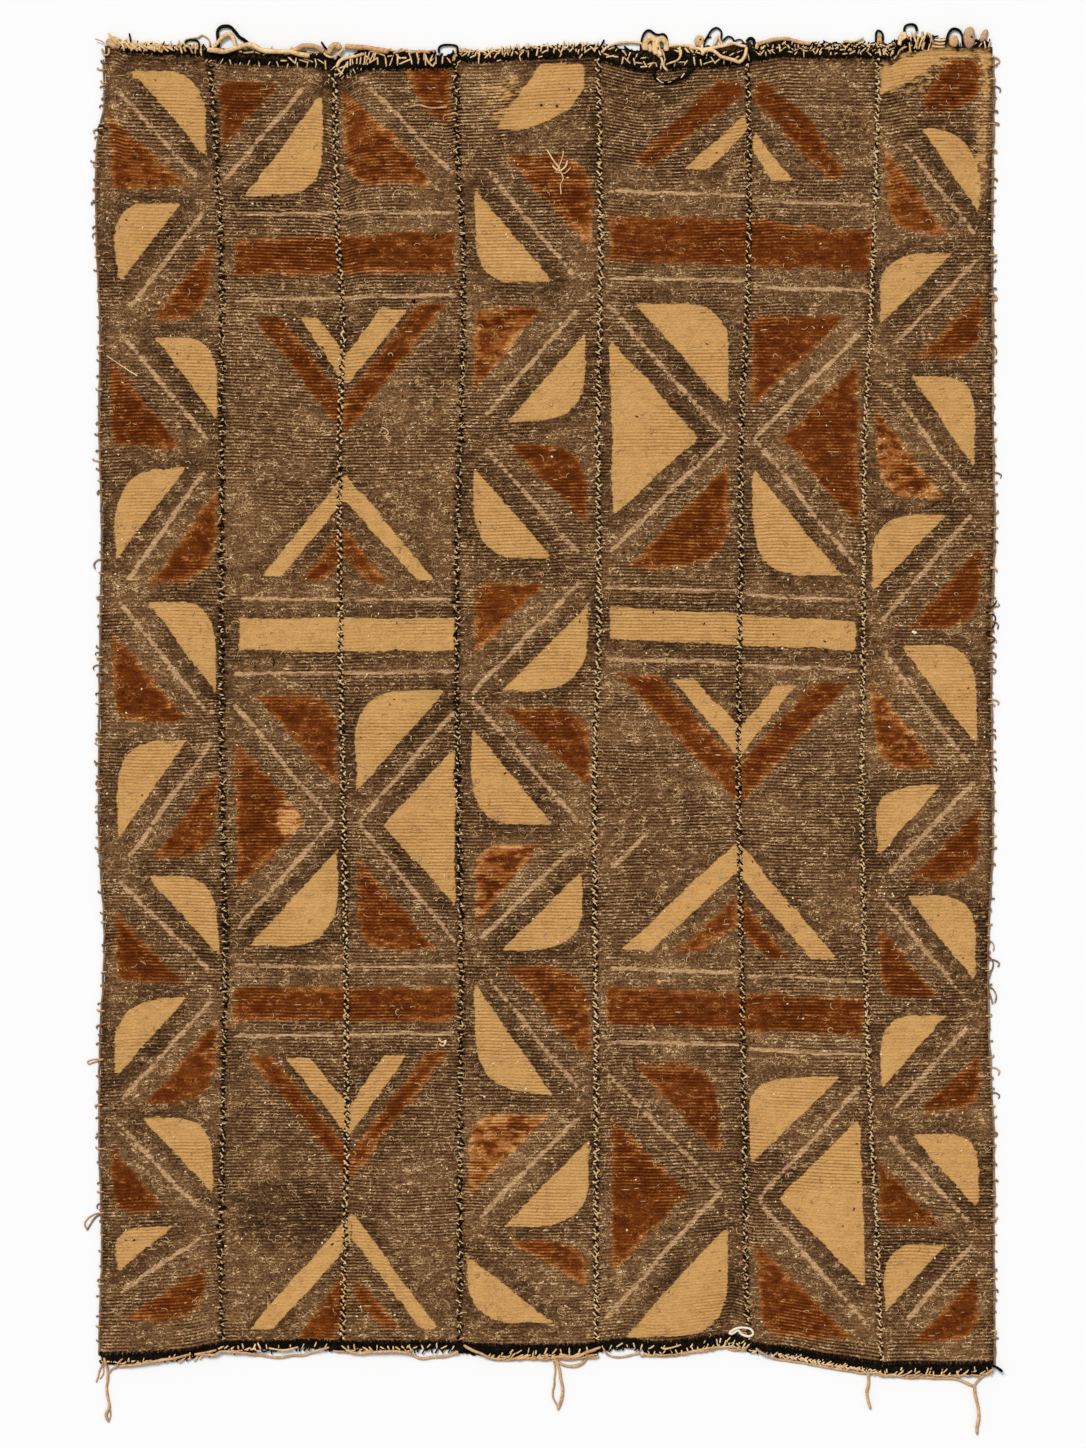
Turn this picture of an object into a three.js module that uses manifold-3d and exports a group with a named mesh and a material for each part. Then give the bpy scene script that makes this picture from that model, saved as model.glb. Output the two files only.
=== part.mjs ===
// Mud cloth: seven handwoven strips sewn edge to edge, laid flat.
// Millimetres, +X to the right across the strips, +Y towards the whipped top edge, +Z up.
import * as THREE from "three";
import { mergeVertices } from "three/addons/utils/BufferGeometryUtils.js";
import Module from "manifold-3d";

const wasm = await Module();
wasm.setup();

// Driving dimensions
const clothThick = 2.0;      // heavy handspun cotton with its pile of loose fibre
const edgeThin = 0.7;        // share of the thickness left right at a selvedge
const pieceGap = 0.3;        // between neighbouring pieces
const rowPitch = 40;         // length of cloth between two rows of points
const firstRow = -660;       // lowest row that all the strips share
const lastRow = 740;         // highest row that all the strips share
const chartMiddle = { x: -3.0, y: -0.3 };   // middle of the whole outline, on the chart below
const whipWide = { top: 14, bottom: 10 };   // yarn whipped over the cut ends of the strips
const whipHigh = 4.6;
const whipStep = 16;         // a longer stretch of whipping gets a point at its middle
const yarnWide = 3.0;        // one thick sewing yarn, lying loose
const yarnHigh = 2.6;
const selvedgeWide = 2.4;    // outermost warp bundle, which holds the loose weft ends
const selvedgeHigh = 1.9;
const lockWide = 1.7;        // a loose weft end
const lockHigh = 1.5;

// Shares of a strip's width at which its points stand, closer beside the seams
const acrossShares = [0, 0.08, 0.28, 0.5, 0.72, 0.92, 1];

// The eight long edges, left to right, at stations down the cloth
const edgeTable = [
  { y: 790, at: [-506, -386, -243, -104, 59, 229, 380, 511] },
  { y: 768, at: [-506, -386, -243, -104, 59, 230, 380, 511] },
  { y: 722, at: [-505, -382, -242, -103, 60, 231, 379, 511] },
  { y: 665, at: [-514, -378, -241, -102, 61, 232, 378, 510] },
  { y: 562, at: [-514, -373, -239, -96, 62, 232, 375, 509] },
  { y: 459, at: [-510, -372, -233, -96, 61, 229, 371, 510] },
  { y: 344, at: [-511, -372, -237, -98, 59, 223, 365, 510] },
  { y: 230, at: [-508, -372, -237, -102, 60, 223, 364, 512] },
  { y: 104, at: [-510, -372, -236, -103, 60, 221, 363, 508] },
  { y: -11, at: [-511, -372, -234, -102, 56, 220, 362, 509] },
  { y: -126, at: [-511, -370, -232, -100, 55, 221, 362, 510] },
  { y: -240, at: [-505, -368, -230, -98, 56, 223, 364, 505] },
  { y: -355, at: [-510, -369, -229, -98, 57, 225, 368, 506] },
  { y: -469, at: [-511, -371, -229, -99, 57, 227, 373, 511] },
  { y: -584, at: [-508, -373, -231, -99, 57, 228, 379, 511] },
  { y: -704, at: [-511, -372, -234, -99, 57, 231, 383, 512] },
  { y: -740, at: [-511, -372, -235, -99, 57, 231, 384, 512] },
];

// Where the strips were cut, along the top and the bottom
const topCut = [
  { x: -520, y: 785 }, { x: -492, y: 784 }, { x: -484, y: 779 }, { x: -462, y: 777 },
  { x: -404, y: 775 }, { x: -386, y: 775 }, { x: -367, y: 770 }, { x: -340, y: 768 },
  { x: -266, y: 766 }, { x: -248, y: 761 }, { x: -236, y: 752 }, { x: -231, y: 750 },
  { x: -223, y: 757 }, { x: -217, y: 761 }, { x: -199, y: 764 }, { x: -114, y: 764 },
  { x: -100, y: 769 }, { x: -70, y: 769 }, { x: -34, y: 772 }, { x: 28, y: 775 },
  { x: 56, y: 776 }, { x: 65, y: 773 }, { x: 83, y: 768 }, { x: 101, y: 763 },
  { x: 120, y: 761 }, { x: 156, y: 765 }, { x: 211, y: 766 }, { x: 230, y: 770 },
  { x: 248, y: 773 }, { x: 273, y: 777 }, { x: 292, y: 775 }, { x: 347, y: 775 },
  { x: 392, y: 774 }, { x: 411, y: 780 }, { x: 438, y: 782 }, { x: 457, y: 784 },
  { x: 520, y: 783 },
];
const bottomCut = [
  { x: -520, y: -716 }, { x: -467, y: -715 }, { x: -431, y: -713 }, { x: -410, y: -711 },
  { x: -386, y: -706 }, { x: -368, y: -703 }, { x: -300, y: -702 }, { x: -270, y: -700 },
  { x: -240, y: -702 }, { x: -105, y: -702 }, { x: -88, y: -704 }, { x: -70, y: -706 },
  { x: 37, y: -706 }, { x: 56, y: -704 }, { x: 66, y: -702 }, { x: 92, y: -699 },
  { x: 120, y: -703 }, { x: 147, y: -702 }, { x: 175, y: -698 }, { x: 193, y: -696 },
  { x: 212, y: -693 }, { x: 222, y: -696 }, { x: 237, y: -704 }, { x: 257, y: -706 },
  { x: 284, y: -709 }, { x: 320, y: -717 }, { x: 356, y: -722 }, { x: 384, y: -727 },
  { x: 420, y: -726 }, { x: 457, y: -727 }, { x: 494, y: -726 }, { x: 520, y: -725 },
];

// Soft swells where the cloth lies off the floor
const swells = [
  { x: -239, y: 690, along: 95, across: 34, turn: 90, high: 4.2 },
  { x: -300, y: 610, along: 120, across: 40, turn: 62, high: 2.4 },
  { x: 228, y: 700, along: 90, across: 32, turn: 96, high: 3.4 },
  { x: 440, y: 640, along: 130, across: 45, turn: 78, high: 2.6 },
  { x: -440, y: 420, along: 150, across: 38, turn: 84, high: 2.2 },
  { x: -150, y: 330, along: 140, across: 42, turn: 70, high: 2.0 },
  { x: 300, y: 240, along: 150, across: 44, turn: 97, high: 2.6 },
  { x: 10, y: 120, along: 110, across: 50, turn: 20, high: 1.8 },
  { x: -380, y: -60, along: 160, across: 40, turn: 88, high: 2.4 },
  { x: 430, y: -150, along: 140, across: 42, turn: 80, high: 2.6 },
  { x: -170, y: -250, along: 130, across: 44, turn: 105, high: 2.0 },
  { x: 150, y: -360, along: 140, across: 40, turn: 84, high: 2.4 },
  { x: -460, y: -470, along: 120, across: 36, turn: 95, high: 2.8 },
  { x: 330, y: -600, along: 120, across: 40, turn: 75, high: 3.2 },
  { x: -60, y: -620, along: 110, across: 40, turn: 100, high: 2.2 },
];
const swellFloor = 0.8;      // below this a swell is pressed flat to the floor
const puckerHigh = 0.7;      // lift of every other row beside a seam
const puckerReach = 0.1;     // share of the strip's width that puckers

// Loose yarn above the top whipping: routes of the loops, each rooted in the whipping
const topLoops = [
  { route: [[-375, 782], [-371, 797], [-359, 803], [-346, 798], [-340, 782]] },
  { route: [[108, 774], [112, 792], [123, 800], [134, 793], [138, 774]] },
  { route: [[179, 774], [183, 793], [190, 800], [197, 793], [201, 774]] },
  { route: [[405, 784], [408, 796], [416, 800], [424, 796], [427, 784]] },
  { route: [[460, 787], [462, 798], [468, 803], [474, 798], [476, 787]] },
  { route: [[479, 788], [484, 800], [492, 796], [494, 787]] },
];

// Tails and sags of the yarn along the bottom whipping
const bottomTails = [
  { route: [[-509, -724], [-507, -752], [-504, -772], [-502, -791]] },
  { route: [[-514, -724], [-517, -737], [-510, -746]] },
  { route: [[-317, -712], [-306, -719], [-290, -719], [-280, -711]] },
  { route: [[-60, -710], [-48, -718], [-30, -718], [-18, -710]] },
  { route: [[5, -710], [3, -735], [9, -764], [13, -776], [17, -764], [18, -735], [14, -710]] },
  { route: [[371, -728], [369, -748], [373, -762], [372, -778]] },
  { route: [[466, -734], [478, -742], [490, -747]] },
  { route: [[513, -738], [503, -743], [490, -747]] },
  { route: [[490, -743], [491, -765], [494, -785], [493, -805]] },
];

// Loose weft ends down the two outer selvedges: height on the cloth, reach and lean
const leftLocks = [
  { y: 757, reach: 8, lean: 2 }, { y: 739, reach: 6, lean: -2 }, { y: 717, reach: 6, lean: -3 },
  { y: 690, reach: 8, lean: -5 }, { y: 666, reach: 4.5, lean: -2 },
  { y: 651, reach: 7, lean: 2 }, { y: 622, reach: 4.5, lean: -3 },
  { y: 606, reach: 6, lean: -3 }, { y: 571, reach: 5.5, lean: -6 },
  { y: 441, reach: 4.5, lean: -3 }, { y: 353, reach: 4.5, lean: -2 },
  { y: 338, reach: 6, lean: 2 }, { y: 309, reach: 8.5, lean: 2 }, { y: 276, reach: 5, lean: -5 },
  { y: 197, reach: 9, lean: -11 }, { y: 155, reach: 6, lean: -4 }, { y: 90, reach: 6, lean: -3 },
  { y: 76, reach: 8, lean: -6 }, { y: -8, reach: 5, lean: -3 }, { y: -37, reach: 6, lean: 2 },
  { y: -57, reach: 4.5, lean: -5 }, { y: -85, reach: 5, lean: -3 },
  { y: -136, reach: 5.5, lean: 2 }, { y: -337, reach: 5.5, lean: -4 },
  { y: -376, reach: 13.5, lean: -6 }, { y: -464, reach: 5, lean: -3 },
  { y: -541, reach: 5.5, lean: -6 }, { y: -552, reach: 17.5, lean: -20 },
  { y: -628, reach: 5, lean: -3 },
];
const rightLocks = [
  { y: 772, reach: 7, lean: -7 }, { y: 739, reach: 8, lean: -7 }, { y: 697, reach: 7, lean: -3 },
  { y: 666, reach: 5, lean: -4 }, { y: 633, reach: 6, lean: -3 }, { y: 537, reach: 6, lean: 2 },
  { y: 500, reach: 5.5, lean: -7 }, { y: 441, reach: 5, lean: -10 },
  { y: 296, reach: 9, lean: -6 }, { y: 186, reach: 5, lean: -4 },
  { y: 141, reach: 8.5, lean: 4 }, { y: 126, reach: 8, lean: -9 },
  { y: 106, reach: 7, lean: -5 }, { y: 90, reach: 6, lean: -6 }, { y: 72, reach: 6, lean: -5 },
  { y: 36, reach: 8.5, lean: -6 }, { y: -4, reach: 5, lean: -5 },
  { y: -40, reach: 5.5, lean: -6 }, { y: -240, reach: 7, lean: -12 },
  { y: -262, reach: 12, lean: -8 }, { y: -293, reach: 9, lean: -18 },
  { y: -385, reach: 10, lean: -9 }, { y: -414, reach: 9, lean: -7 },
  { y: -460, reach: 5, lean: -3 }, { y: -560, reach: 5, lean: 2 },
  { y: -640, reach: 5, lean: -3 },
];

// Finishes
const clothFinish = new THREE.MeshStandardMaterial({ color: 0x77583b, roughness: 0.95, metalness: 0 });
const tanFinish = new THREE.MeshStandardMaterial({ color: 0x8f6a43, roughness: 0.95, metalness: 0 });
const yarnFinish = new THREE.MeshStandardMaterial({ color: 0x1c140f, roughness: 0.9, metalness: 0 });
const fibreFinish = new THREE.MeshStandardMaterial({ color: 0xb99a76, roughness: 0.95, metalness: 0 });

// Smooth value of a table column at a place, through the rows on either side
function along(rows, place, key, value) {
  const last = rows.length - 1;
  let i = rows.findIndex((row) => (rows[0][key] < rows[last][key] ? row[key] >= place : row[key] <= place));
  i = i < 0 ? last : Math.max(i, 1);
  const before = value(rows[Math.max(i - 2, 0)]);
  const from = value(rows[i - 1]);
  const to = value(rows[i]);
  const after = value(rows[Math.min(i + 1, last)]);
  const share = (place - rows[i - 1][key]) / (rows[i][key] - rows[i - 1][key]);
  const t = THREE.MathUtils.clamp(share, 0, 1);
  const slopeFrom = (to - before) / 2;
  const slopeTo = (after - from) / 2;
  const bend = 2 * (from - to) + slopeFrom + slopeTo;
  const lean = 3 * (to - from) - 2 * slopeFrom - slopeTo;
  return from + slopeFrom * t + lean * t * t + bend * t * t * t;
}

// Straight-line value between two rows, for the cut ends
function cutAt(rows, x) {
  const i = Math.max(rows.findIndex((row) => row.x >= x), 1);
  const share = (x - rows[i - 1].x) / (rows[i].x - rows[i - 1].x);
  return THREE.MathUtils.lerp(rows[i - 1].y, rows[i].y, share);
}

function edgeAt(edge, y) {
  return along(edgeTable, y, "y", (row) => row.at[edge]);
}

// How far the cloth lies off the floor
function liftAt(x, y) {
  let lift = 0;
  for (const swell of swells) {
    const turn = THREE.MathUtils.degToRad(swell.turn);
    const dx = x - swell.x;
    const dy = y - swell.y;
    const u = (dx * Math.cos(turn) + dy * Math.sin(turn)) / swell.along;
    const v = (dy * Math.cos(turn) - dx * Math.sin(turn)) / swell.across;
    lift += swell.high * Math.exp(-u * u - v * v);
  }
  return Math.max(0, lift - swellFloor);
}

// Rows of a strip: its cut end, the shared rows, its other cut end
const sharedRows = [];
for (let y = firstRow; y <= lastRow; y += rowPitch) sharedRows.push(y);

function placeInStrip(strip, share, row) {
  const leftSide = (y) => edgeAt(strip, y) + pieceGap / 2;
  const rightSide = (y) => edgeAt(strip + 1, y) - pieceGap / 2;
  const xAt = (y) => THREE.MathUtils.lerp(leftSide(y), rightSide(y), share);
  if (row >= 0 && row < sharedRows.length) return [xAt(sharedRows[row]), sharedRows[row]];
  const cut = row < 0 ? bottomCut : topCut;
  const guess = cutAt(cut, xAt(row < 0 ? firstRow : lastRow));
  const x = xAt(guess);
  return [x, cutAt(cut, x)];
}

// Closed mesh from a list of points and triangles
function geometryOf(points, triangles) {
  const geometry = new THREE.BufferGeometry();
  const numbers = new Float32Array(points.flat());
  geometry.setAttribute("position", new THREE.BufferAttribute(numbers, 3));
  geometry.setIndex(triangles.flat());
  geometry.translate(-chartMiddle.x, -chartMiddle.y, 0);
  return geometry;
}

// A woven strip, thinner at its selvedges and lifted by the swells
function stripGeometry(strip) {
  const columns = acrossShares.length;
  const rows = sharedRows.length + 2;
  const points = [];
  for (const top of [false, true]) {
    for (let row = -1; row < rows - 1; row++) {
      for (const share of acrossShares) {
        const [x, y] = placeInStrip(strip, share, row);
        const fromSeam = Math.min(share, 1 - share);
        const pucker = fromSeam < puckerReach && (row + strip) % 2 === 0 ? puckerHigh : 0;
        const thick = fromSeam === 0 ? clothThick * edgeThin : clothThick;
        const handspun = 0.12 * Math.sin(0.13 * x + 0.31 * row) * Math.cos(0.045 * y + strip);
        points.push([x, y, liftAt(x, y) + pucker + (top ? thick + handspun : 0)]);
      }
    }
  }
  const at = (layer, row, column) => (layer * rows + row) * columns + column;
  const triangles = [];
  const quad = (a, b, c, d) => triangles.push([a, b, c], [a, c, d]);
  for (let row = 0; row < rows - 1; row++) {
    for (let column = 0; column < columns - 1; column++) {
      const under = [at(0, row, column), at(0, row + 1, column)];
      const underRight = [at(0, row, column + 1), at(0, row + 1, column + 1)];
      const over = [at(1, row, column), at(1, row + 1, column)];
      const overRight = [at(1, row, column + 1), at(1, row + 1, column + 1)];
      quad(over[0], overRight[0], overRight[1], over[1]);
      quad(under[0], under[1], underRight[1], underRight[0]);
    }
    const right = columns - 1;
    quad(at(0, row, 0), at(1, row, 0), at(1, row + 1, 0), at(0, row + 1, 0));
    quad(at(0, row, right), at(0, row + 1, right), at(1, row + 1, right), at(1, row, right));
  }
  for (let column = 0; column < columns - 1; column++) {
    const end = rows - 1;
    quad(at(0, 0, column), at(0, 0, column + 1), at(1, 0, column + 1), at(1, 0, column));
    quad(at(0, end, column), at(1, end, column), at(1, end, column + 1), at(0, end, column + 1));
  }
  return geometryOf(points, triangles);
}

// Closed solid lofted through rings of points, with flat ends
function loft(rings) {
  const sides = rings[0].length;
  const points = rings.flat();
  const triangles = [];
  for (let i = 0; i < rings.length - 1; i++) {
    for (let k = 0; k < sides; k++) {
      const a = i * sides + k;
      const b = i * sides + ((k + 1) % sides);
      triangles.push([a, b, b + sides], [a, b + sides, a + sides]);
    }
  }
  const last = (rings.length - 1) * sides;
  for (let k = 1; k < sides - 1; k++) {
    triangles.push([0, k + 1, k]);
    triangles.push([last, last + k, last + k + 1]);
  }
  return [points, facingOut(points, triangles)];
}

// The same triangles, turned round where they enclose a negative volume
function facingOut(points, triangles) {
  let volume = 0;
  for (const [a, b, c] of triangles) {
    const [pa, pb, pc] = [points[a], points[b], points[c]].map((p) => new THREE.Vector3(...p));
    volume += pa.dot(pb.cross(pc));
  }
  return volume < 0 ? triangles.map(([a, b, c]) => [a, c, b]) : triangles;
}

function solidOf([points, triangles]) {
  const geometry = new THREE.BufferGeometry();
  geometry.setAttribute("position", new THREE.BufferAttribute(new Float32Array(points.flat()), 3));
  geometry.setIndex(triangles.flat());
  const merged = mergeVertices(geometry);
  const mesh = new wasm.Mesh({
    numProp: 3,
    vertProperties: new Float32Array(merged.attributes.position.array),
    triVerts: new Uint32Array(merged.index.array),
  });
  return new wasm.Manifold(mesh);
}

function fusedGeometry(solids) {
  const joined = solids.reduce((whole, solid) => whole.add(solid));
  const mesh = joined.getMesh();
  const points = [];
  for (let i = 0; i < mesh.vertProperties.length; i += mesh.numProp) {
    points.push(Array.from(mesh.vertProperties.slice(i, i + 3)));
  }
  const triangles = [];
  for (let i = 0; i < mesh.triVerts.length; i += 3) triangles.push(Array.from(mesh.triVerts.slice(i, i + 3)));
  return geometryOf(points, triangles);
}

// A strand lying on the floor: section is a list of [across, up] shares, anticlockwise
const squareSection = [[-1, 0], [1, 0], [0.62, 1], [-0.62, 1]];
const threeSided = [[-1, 0], [1, 0], [0, 1]];
const ropeSection = [[-1, 0], [1, 0], [1, 0.55], [0.45, 1], [-0.45, 1], [-1, 0.55]];

function strandSolid(route, wide, high, section, steps) {
  const curve = new THREE.CatmullRomCurve3(route.map(([x, y]) => new THREE.Vector3(x, y, 0)));
  const rings = [];
  for (let i = 0; i <= steps; i++) {
    const place = curve.getPointAt(i / steps);
    const way = curve.getTangentAt(i / steps);
    const taper = i === steps || i === 0 ? 0.8 : 1;
    rings.push(section.map(([across, up]) => [
      place.x - way.y * across * 0.5 * wide * taper,
      place.y + way.x * across * 0.5 * wide * taper,
      up * high * taper,
    ]));
  }
  return solidOf(loft(rings));
}

// Whipping over a row of cut ends; side is 1 at the top and -1 at the bottom
function whippingSolid(row, side) {
  const inner = [];
  for (let strip = 0; strip < 7; strip++) {
    acrossShares.forEach((share, column) => {
      if (strip > 0 && column === 0) return;
      inner.push(placeInStrip(strip, share, row));
    });
  }
  const overhang = pieceGap + selvedgeWide + 0.4;
  const stations = [[inner[0][0] - overhang, inner[0][1]]];
  inner.forEach((place, i) => {
    stations.push(place);
    const next = inner[i + 1];
    if (next && next[0] - place[0] > whipStep) {
      stations.push([(place[0] + next[0]) / 2, (place[1] + next[1]) / 2]);
    }
  });
  const end = inner[inner.length - 1];
  stations.push([end[0] + overhang, end[1]]);
  const rings = stations.map(([x, y], i) => {
    const wide = (side > 0 ? whipWide.top : whipWide.bottom) * (1 + 0.1 * Math.sin(2.1 * i));
    const high = whipHigh * (1 + 0.1 * Math.cos(2.9 * i));
    return ropeSection.map(([across, up]) => [x, y + side * (pieceGap + ((across + 1) / 2) * wide), up * high]);
  });
  return solidOf(loft(rings));
}

// Outermost bundle of warps beside an outer strip, with its loose weft ends
function selvedgeGeometry(edge, side, locks) {
  const strip = side < 0 ? 0 : 6;
  const share = side < 0 ? 0 : 1;
  const rings = [];
  for (let row = -1; row <= sharedRows.length; row++) {
    const [x, y] = placeInStrip(strip, share, row);
    const inner = x + side * pieceGap;
    const outer = inner + side * selvedgeWide;
    rings.push([[inner, y, 0], [outer, y, 0], [outer, y, 0.6 * selvedgeHigh], [inner, y, selvedgeHigh]]);
  }
  const solids = [solidOf(loft(rings))];
  for (const lock of locks) {
    const root = edgeAt(edge, lock.y) + side * (pieceGap + 0.55 * selvedgeWide);
    const tip = edgeAt(edge, lock.y) + side * lock.reach;
    const route = [
      [root, lock.y],
      [THREE.MathUtils.lerp(root, tip, 0.75), lock.y + 0.3 * lock.lean],
      [tip, lock.y + lock.lean],
    ];
    solids.push(strandSolid(route, lockWide, lockHigh, threeSided, 2));
  }
  return fusedGeometry(solids);
}

const cloth = new THREE.Group();

function addPiece(name, geometry, finish) {
  const mesh = new THREE.Mesh(geometry, finish);
  mesh.name = name;
  cloth.add(mesh);
}

for (let strip = 0; strip < 7; strip++) {
  addPiece(`strip_${strip + 1}`, stripGeometry(strip), strip % 2 ? tanFinish : clothFinish);
}

const yarnOf = (loops) => loops.map(({ route }) => strandSolid(route, yarnWide, yarnHigh, squareSection, 8));
const topEnd = sharedRows.length;
addPiece("whipping_top", fusedGeometry([whippingSolid(topEnd, 1), ...yarnOf(topLoops)]), yarnFinish);
addPiece("whipping_bottom", fusedGeometry([whippingSolid(-1, -1), ...yarnOf(bottomTails)]), yarnFinish);
addPiece("selvedge_left", selvedgeGeometry(0, -1, leftLocks), fibreFinish);
addPiece("selvedge_right", selvedgeGeometry(7, 1, rightLocks), fibreFinish);

export default cloth;
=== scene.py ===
import math
import bpy
import numpy as np
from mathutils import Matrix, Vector


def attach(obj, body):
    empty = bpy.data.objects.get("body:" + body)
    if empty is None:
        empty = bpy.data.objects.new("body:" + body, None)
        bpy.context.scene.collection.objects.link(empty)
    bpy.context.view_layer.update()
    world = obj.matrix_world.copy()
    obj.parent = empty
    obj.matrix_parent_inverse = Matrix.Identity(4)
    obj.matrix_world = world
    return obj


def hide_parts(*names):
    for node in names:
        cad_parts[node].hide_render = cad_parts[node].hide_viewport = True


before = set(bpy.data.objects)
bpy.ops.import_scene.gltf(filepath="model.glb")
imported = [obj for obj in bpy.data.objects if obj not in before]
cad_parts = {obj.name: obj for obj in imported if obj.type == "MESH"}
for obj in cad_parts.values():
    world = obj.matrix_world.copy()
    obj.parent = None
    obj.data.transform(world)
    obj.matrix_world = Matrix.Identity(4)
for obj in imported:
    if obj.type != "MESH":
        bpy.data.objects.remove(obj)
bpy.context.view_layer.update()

scene = bpy.context.scene
scene.view_settings.view_transform = "Standard"
print("mud cloth: frame loaded, nodes", len(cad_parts))

# Everything is laid out on the maker's chart, in millimetres, and moved to metres at the end
mm = 0.001
chartMiddle = {"x": -3.0, "y": -0.3}

camera = {"lens": 100, "away": 4.61, "x": -0.0010, "y": 0.0078}
light = {"sunStrength": 2.25, "sunSize": 24, "sunRise": 52, "sunFrom": 118, "sky": 0.475}


def displayColour(red, green, blue, alpha=1.0):
    shares = []
    for level in (red, green, blue):
        share = level / 255
        shares.append(share / 12.92 if share <= 0.04045 else ((share + 0.055) / 1.055) ** 2.4)
    return (*shares, alpha)


def rowsOf(columns, rows):
    return [dict(zip(columns, row)) for row in rows]


# Camera straight above, soft daylight from the upper left, pale floor
eye = bpy.data.cameras.new("straightAbove")
eye.lens = camera["lens"]
eye.sensor_width = 36
eye.clip_end = 50
eyeObject = bpy.data.objects.new("straightAbove", eye)
eyeObject.location = (camera["x"], camera["y"], camera["away"])
scene.collection.objects.link(eyeObject)
scene.camera = eyeObject

sun = bpy.data.lights.new("windowLight", "SUN")
sun.energy = light["sunStrength"]
sun.angle = math.radians(light["sunSize"])
sunObject = bpy.data.objects.new("windowLight", sun)
rise = math.radians(light["sunRise"])
turn = math.radians(light["sunFrom"])
towardsSun = Vector((math.cos(turn) * math.cos(rise), math.sin(turn) * math.cos(rise), math.sin(rise)))
sunObject.rotation_euler = towardsSun.to_track_quat("Z", "Y").to_euler()
scene.collection.objects.link(sunObject)

sky = bpy.data.worlds.new("whiteRoom")
sky.use_nodes = True
sky.node_tree.nodes["Background"].inputs["Color"].default_value = (1, 1, 1, 1)
sky.node_tree.nodes["Background"].inputs["Strength"].default_value = light["sky"]
scene.world = sky

# Shape of the cloth, as in the frame

# The eight long edges, left to right, at stations down the cloth
edgeStations = [790, 768, 722, 665, 562, 459, 344, 230, 104, -11, -126, -240, -355, -469, -584, -704, -740]
edgeColumns = {
    "left side": [-506, -506, -505, -514, -514, -510, -511, -508, -510, -511, -511, -505, -510, -511, -508,
                  -511, -511],
    "seam 1": [-386, -386, -382, -378, -373, -372, -372, -372, -372, -372, -370, -368, -369, -371, -373,
               -372, -372],
    "seam 2": [-243, -243, -242, -241, -239, -233, -237, -237, -236, -234, -232, -230, -229, -229, -231,
               -234, -235],
    "seam 3": [-104, -104, -103, -102, -96, -96, -98, -102, -103, -102, -100, -98, -98, -99, -99, -99, -99],
    "seam 4": [59, 59, 60, 61, 62, 61, 59, 60, 60, 56, 55, 56, 57, 57, 57, 57, 57],
    "seam 5": [229, 230, 231, 232, 232, 229, 223, 223, 221, 220, 221, 223, 225, 227, 228, 231, 231],
    "seam 6": [380, 380, 379, 378, 375, 371, 365, 364, 363, 362, 362, 364, 368, 373, 379, 383, 384],
    "right side": [511, 511, 511, 510, 509, 510, 510, 512, 508, 509, 510, 505, 506, 511, 511, 512, 512],
}
edgeNames = list(edgeColumns)

# Where the strips were cut, x and y along the top and the bottom
topCut = [
    (-520, 785), (-492, 784), (-484, 779), (-462, 777), (-404, 775), (-386, 775), (-367, 770), (-340, 768),
    (-266, 766), (-248, 761), (-236, 752), (-231, 750), (-223, 757), (-217, 761), (-199, 764), (-114, 764),
    (-100, 769), (-70, 769), (-34, 772), (28, 775), (56, 776), (65, 773), (83, 768), (101, 763), (120, 761),
    (156, 765), (211, 766), (230, 770), (248, 773), (273, 777), (292, 775), (347, 775), (392, 774),
    (411, 780), (438, 782), (457, 784), (520, 783),
]
bottomCut = [
    (-520, -716), (-467, -715), (-431, -713), (-410, -711), (-386, -706), (-368, -703), (-300, -702),
    (-270, -700), (-240, -702), (-105, -702), (-88, -704), (-70, -706), (37, -706), (56, -704), (66, -702),
    (92, -699), (120, -703), (147, -702), (175, -698), (193, -696), (212, -693), (222, -696), (237, -704),
    (257, -706), (284, -709), (320, -717), (356, -722), (384, -727), (420, -726), (457, -727), (494, -726),
    (520, -725),
]

swells = rowsOf(("x", "y", "along", "across", "turn", "high"), [
    (-239, 690, 95, 34, 90, 4.2), (-300, 610, 120, 40, 62, 2.4), (228, 700, 90, 32, 96, 3.4),
    (440, 640, 130, 45, 78, 2.6), (-440, 420, 150, 38, 84, 2.2), (-150, 330, 140, 42, 70, 2.0),
    (300, 240, 150, 44, 97, 2.6), (10, 120, 110, 50, 20, 1.8), (-380, -60, 160, 40, 88, 2.4),
    (430, -150, 140, 42, 80, 2.6), (-170, -250, 130, 44, 105, 2.0), (150, -360, 140, 40, 84, 2.4),
    (-460, -470, 120, 36, 95, 2.8), (330, -600, 120, 40, 75, 3.2), (-60, -620, 110, 40, 100, 2.2),
])

clothSizes = {
    "thick": 2.0,          # heavy handspun cotton
    "edgeThin": 0.7,       # share of the thickness left at a selvedge
    "edgeLong": 7,         # how far in from a selvedge the cloth is thinner
    "gap": 0.3,            # between neighbouring pieces
    "topLevel": 770,       # about where the strips were cut, before cutAt moves the ends
    "lowLevel": -712,
    "swellFloor": 0.8,     # height taken off the swells, so that most of the cloth lies flat
    "puckerHigh": 0.7,     # cloth lifted between the stitches of a seam
    "puckerLong": 80,
    "gatherHigh": 0.22,    # small gathers beside a seam
    "gatherLong": 7.4,
    "ribPitch": 3.8,       # one weft yarn to the next
    "ribHigh": 0.36,
    "columns": 32,
    "underStep": 8,        # rows of the face to one row of the underside
    "underColumns": 7,
}

# How far random grain reaches round the chart's middle, and its greatest count of weft yarns
grainReach = {"left": 640, "below": 930, "wide": 1300, "high": 1900, "yarns": 420}


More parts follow.
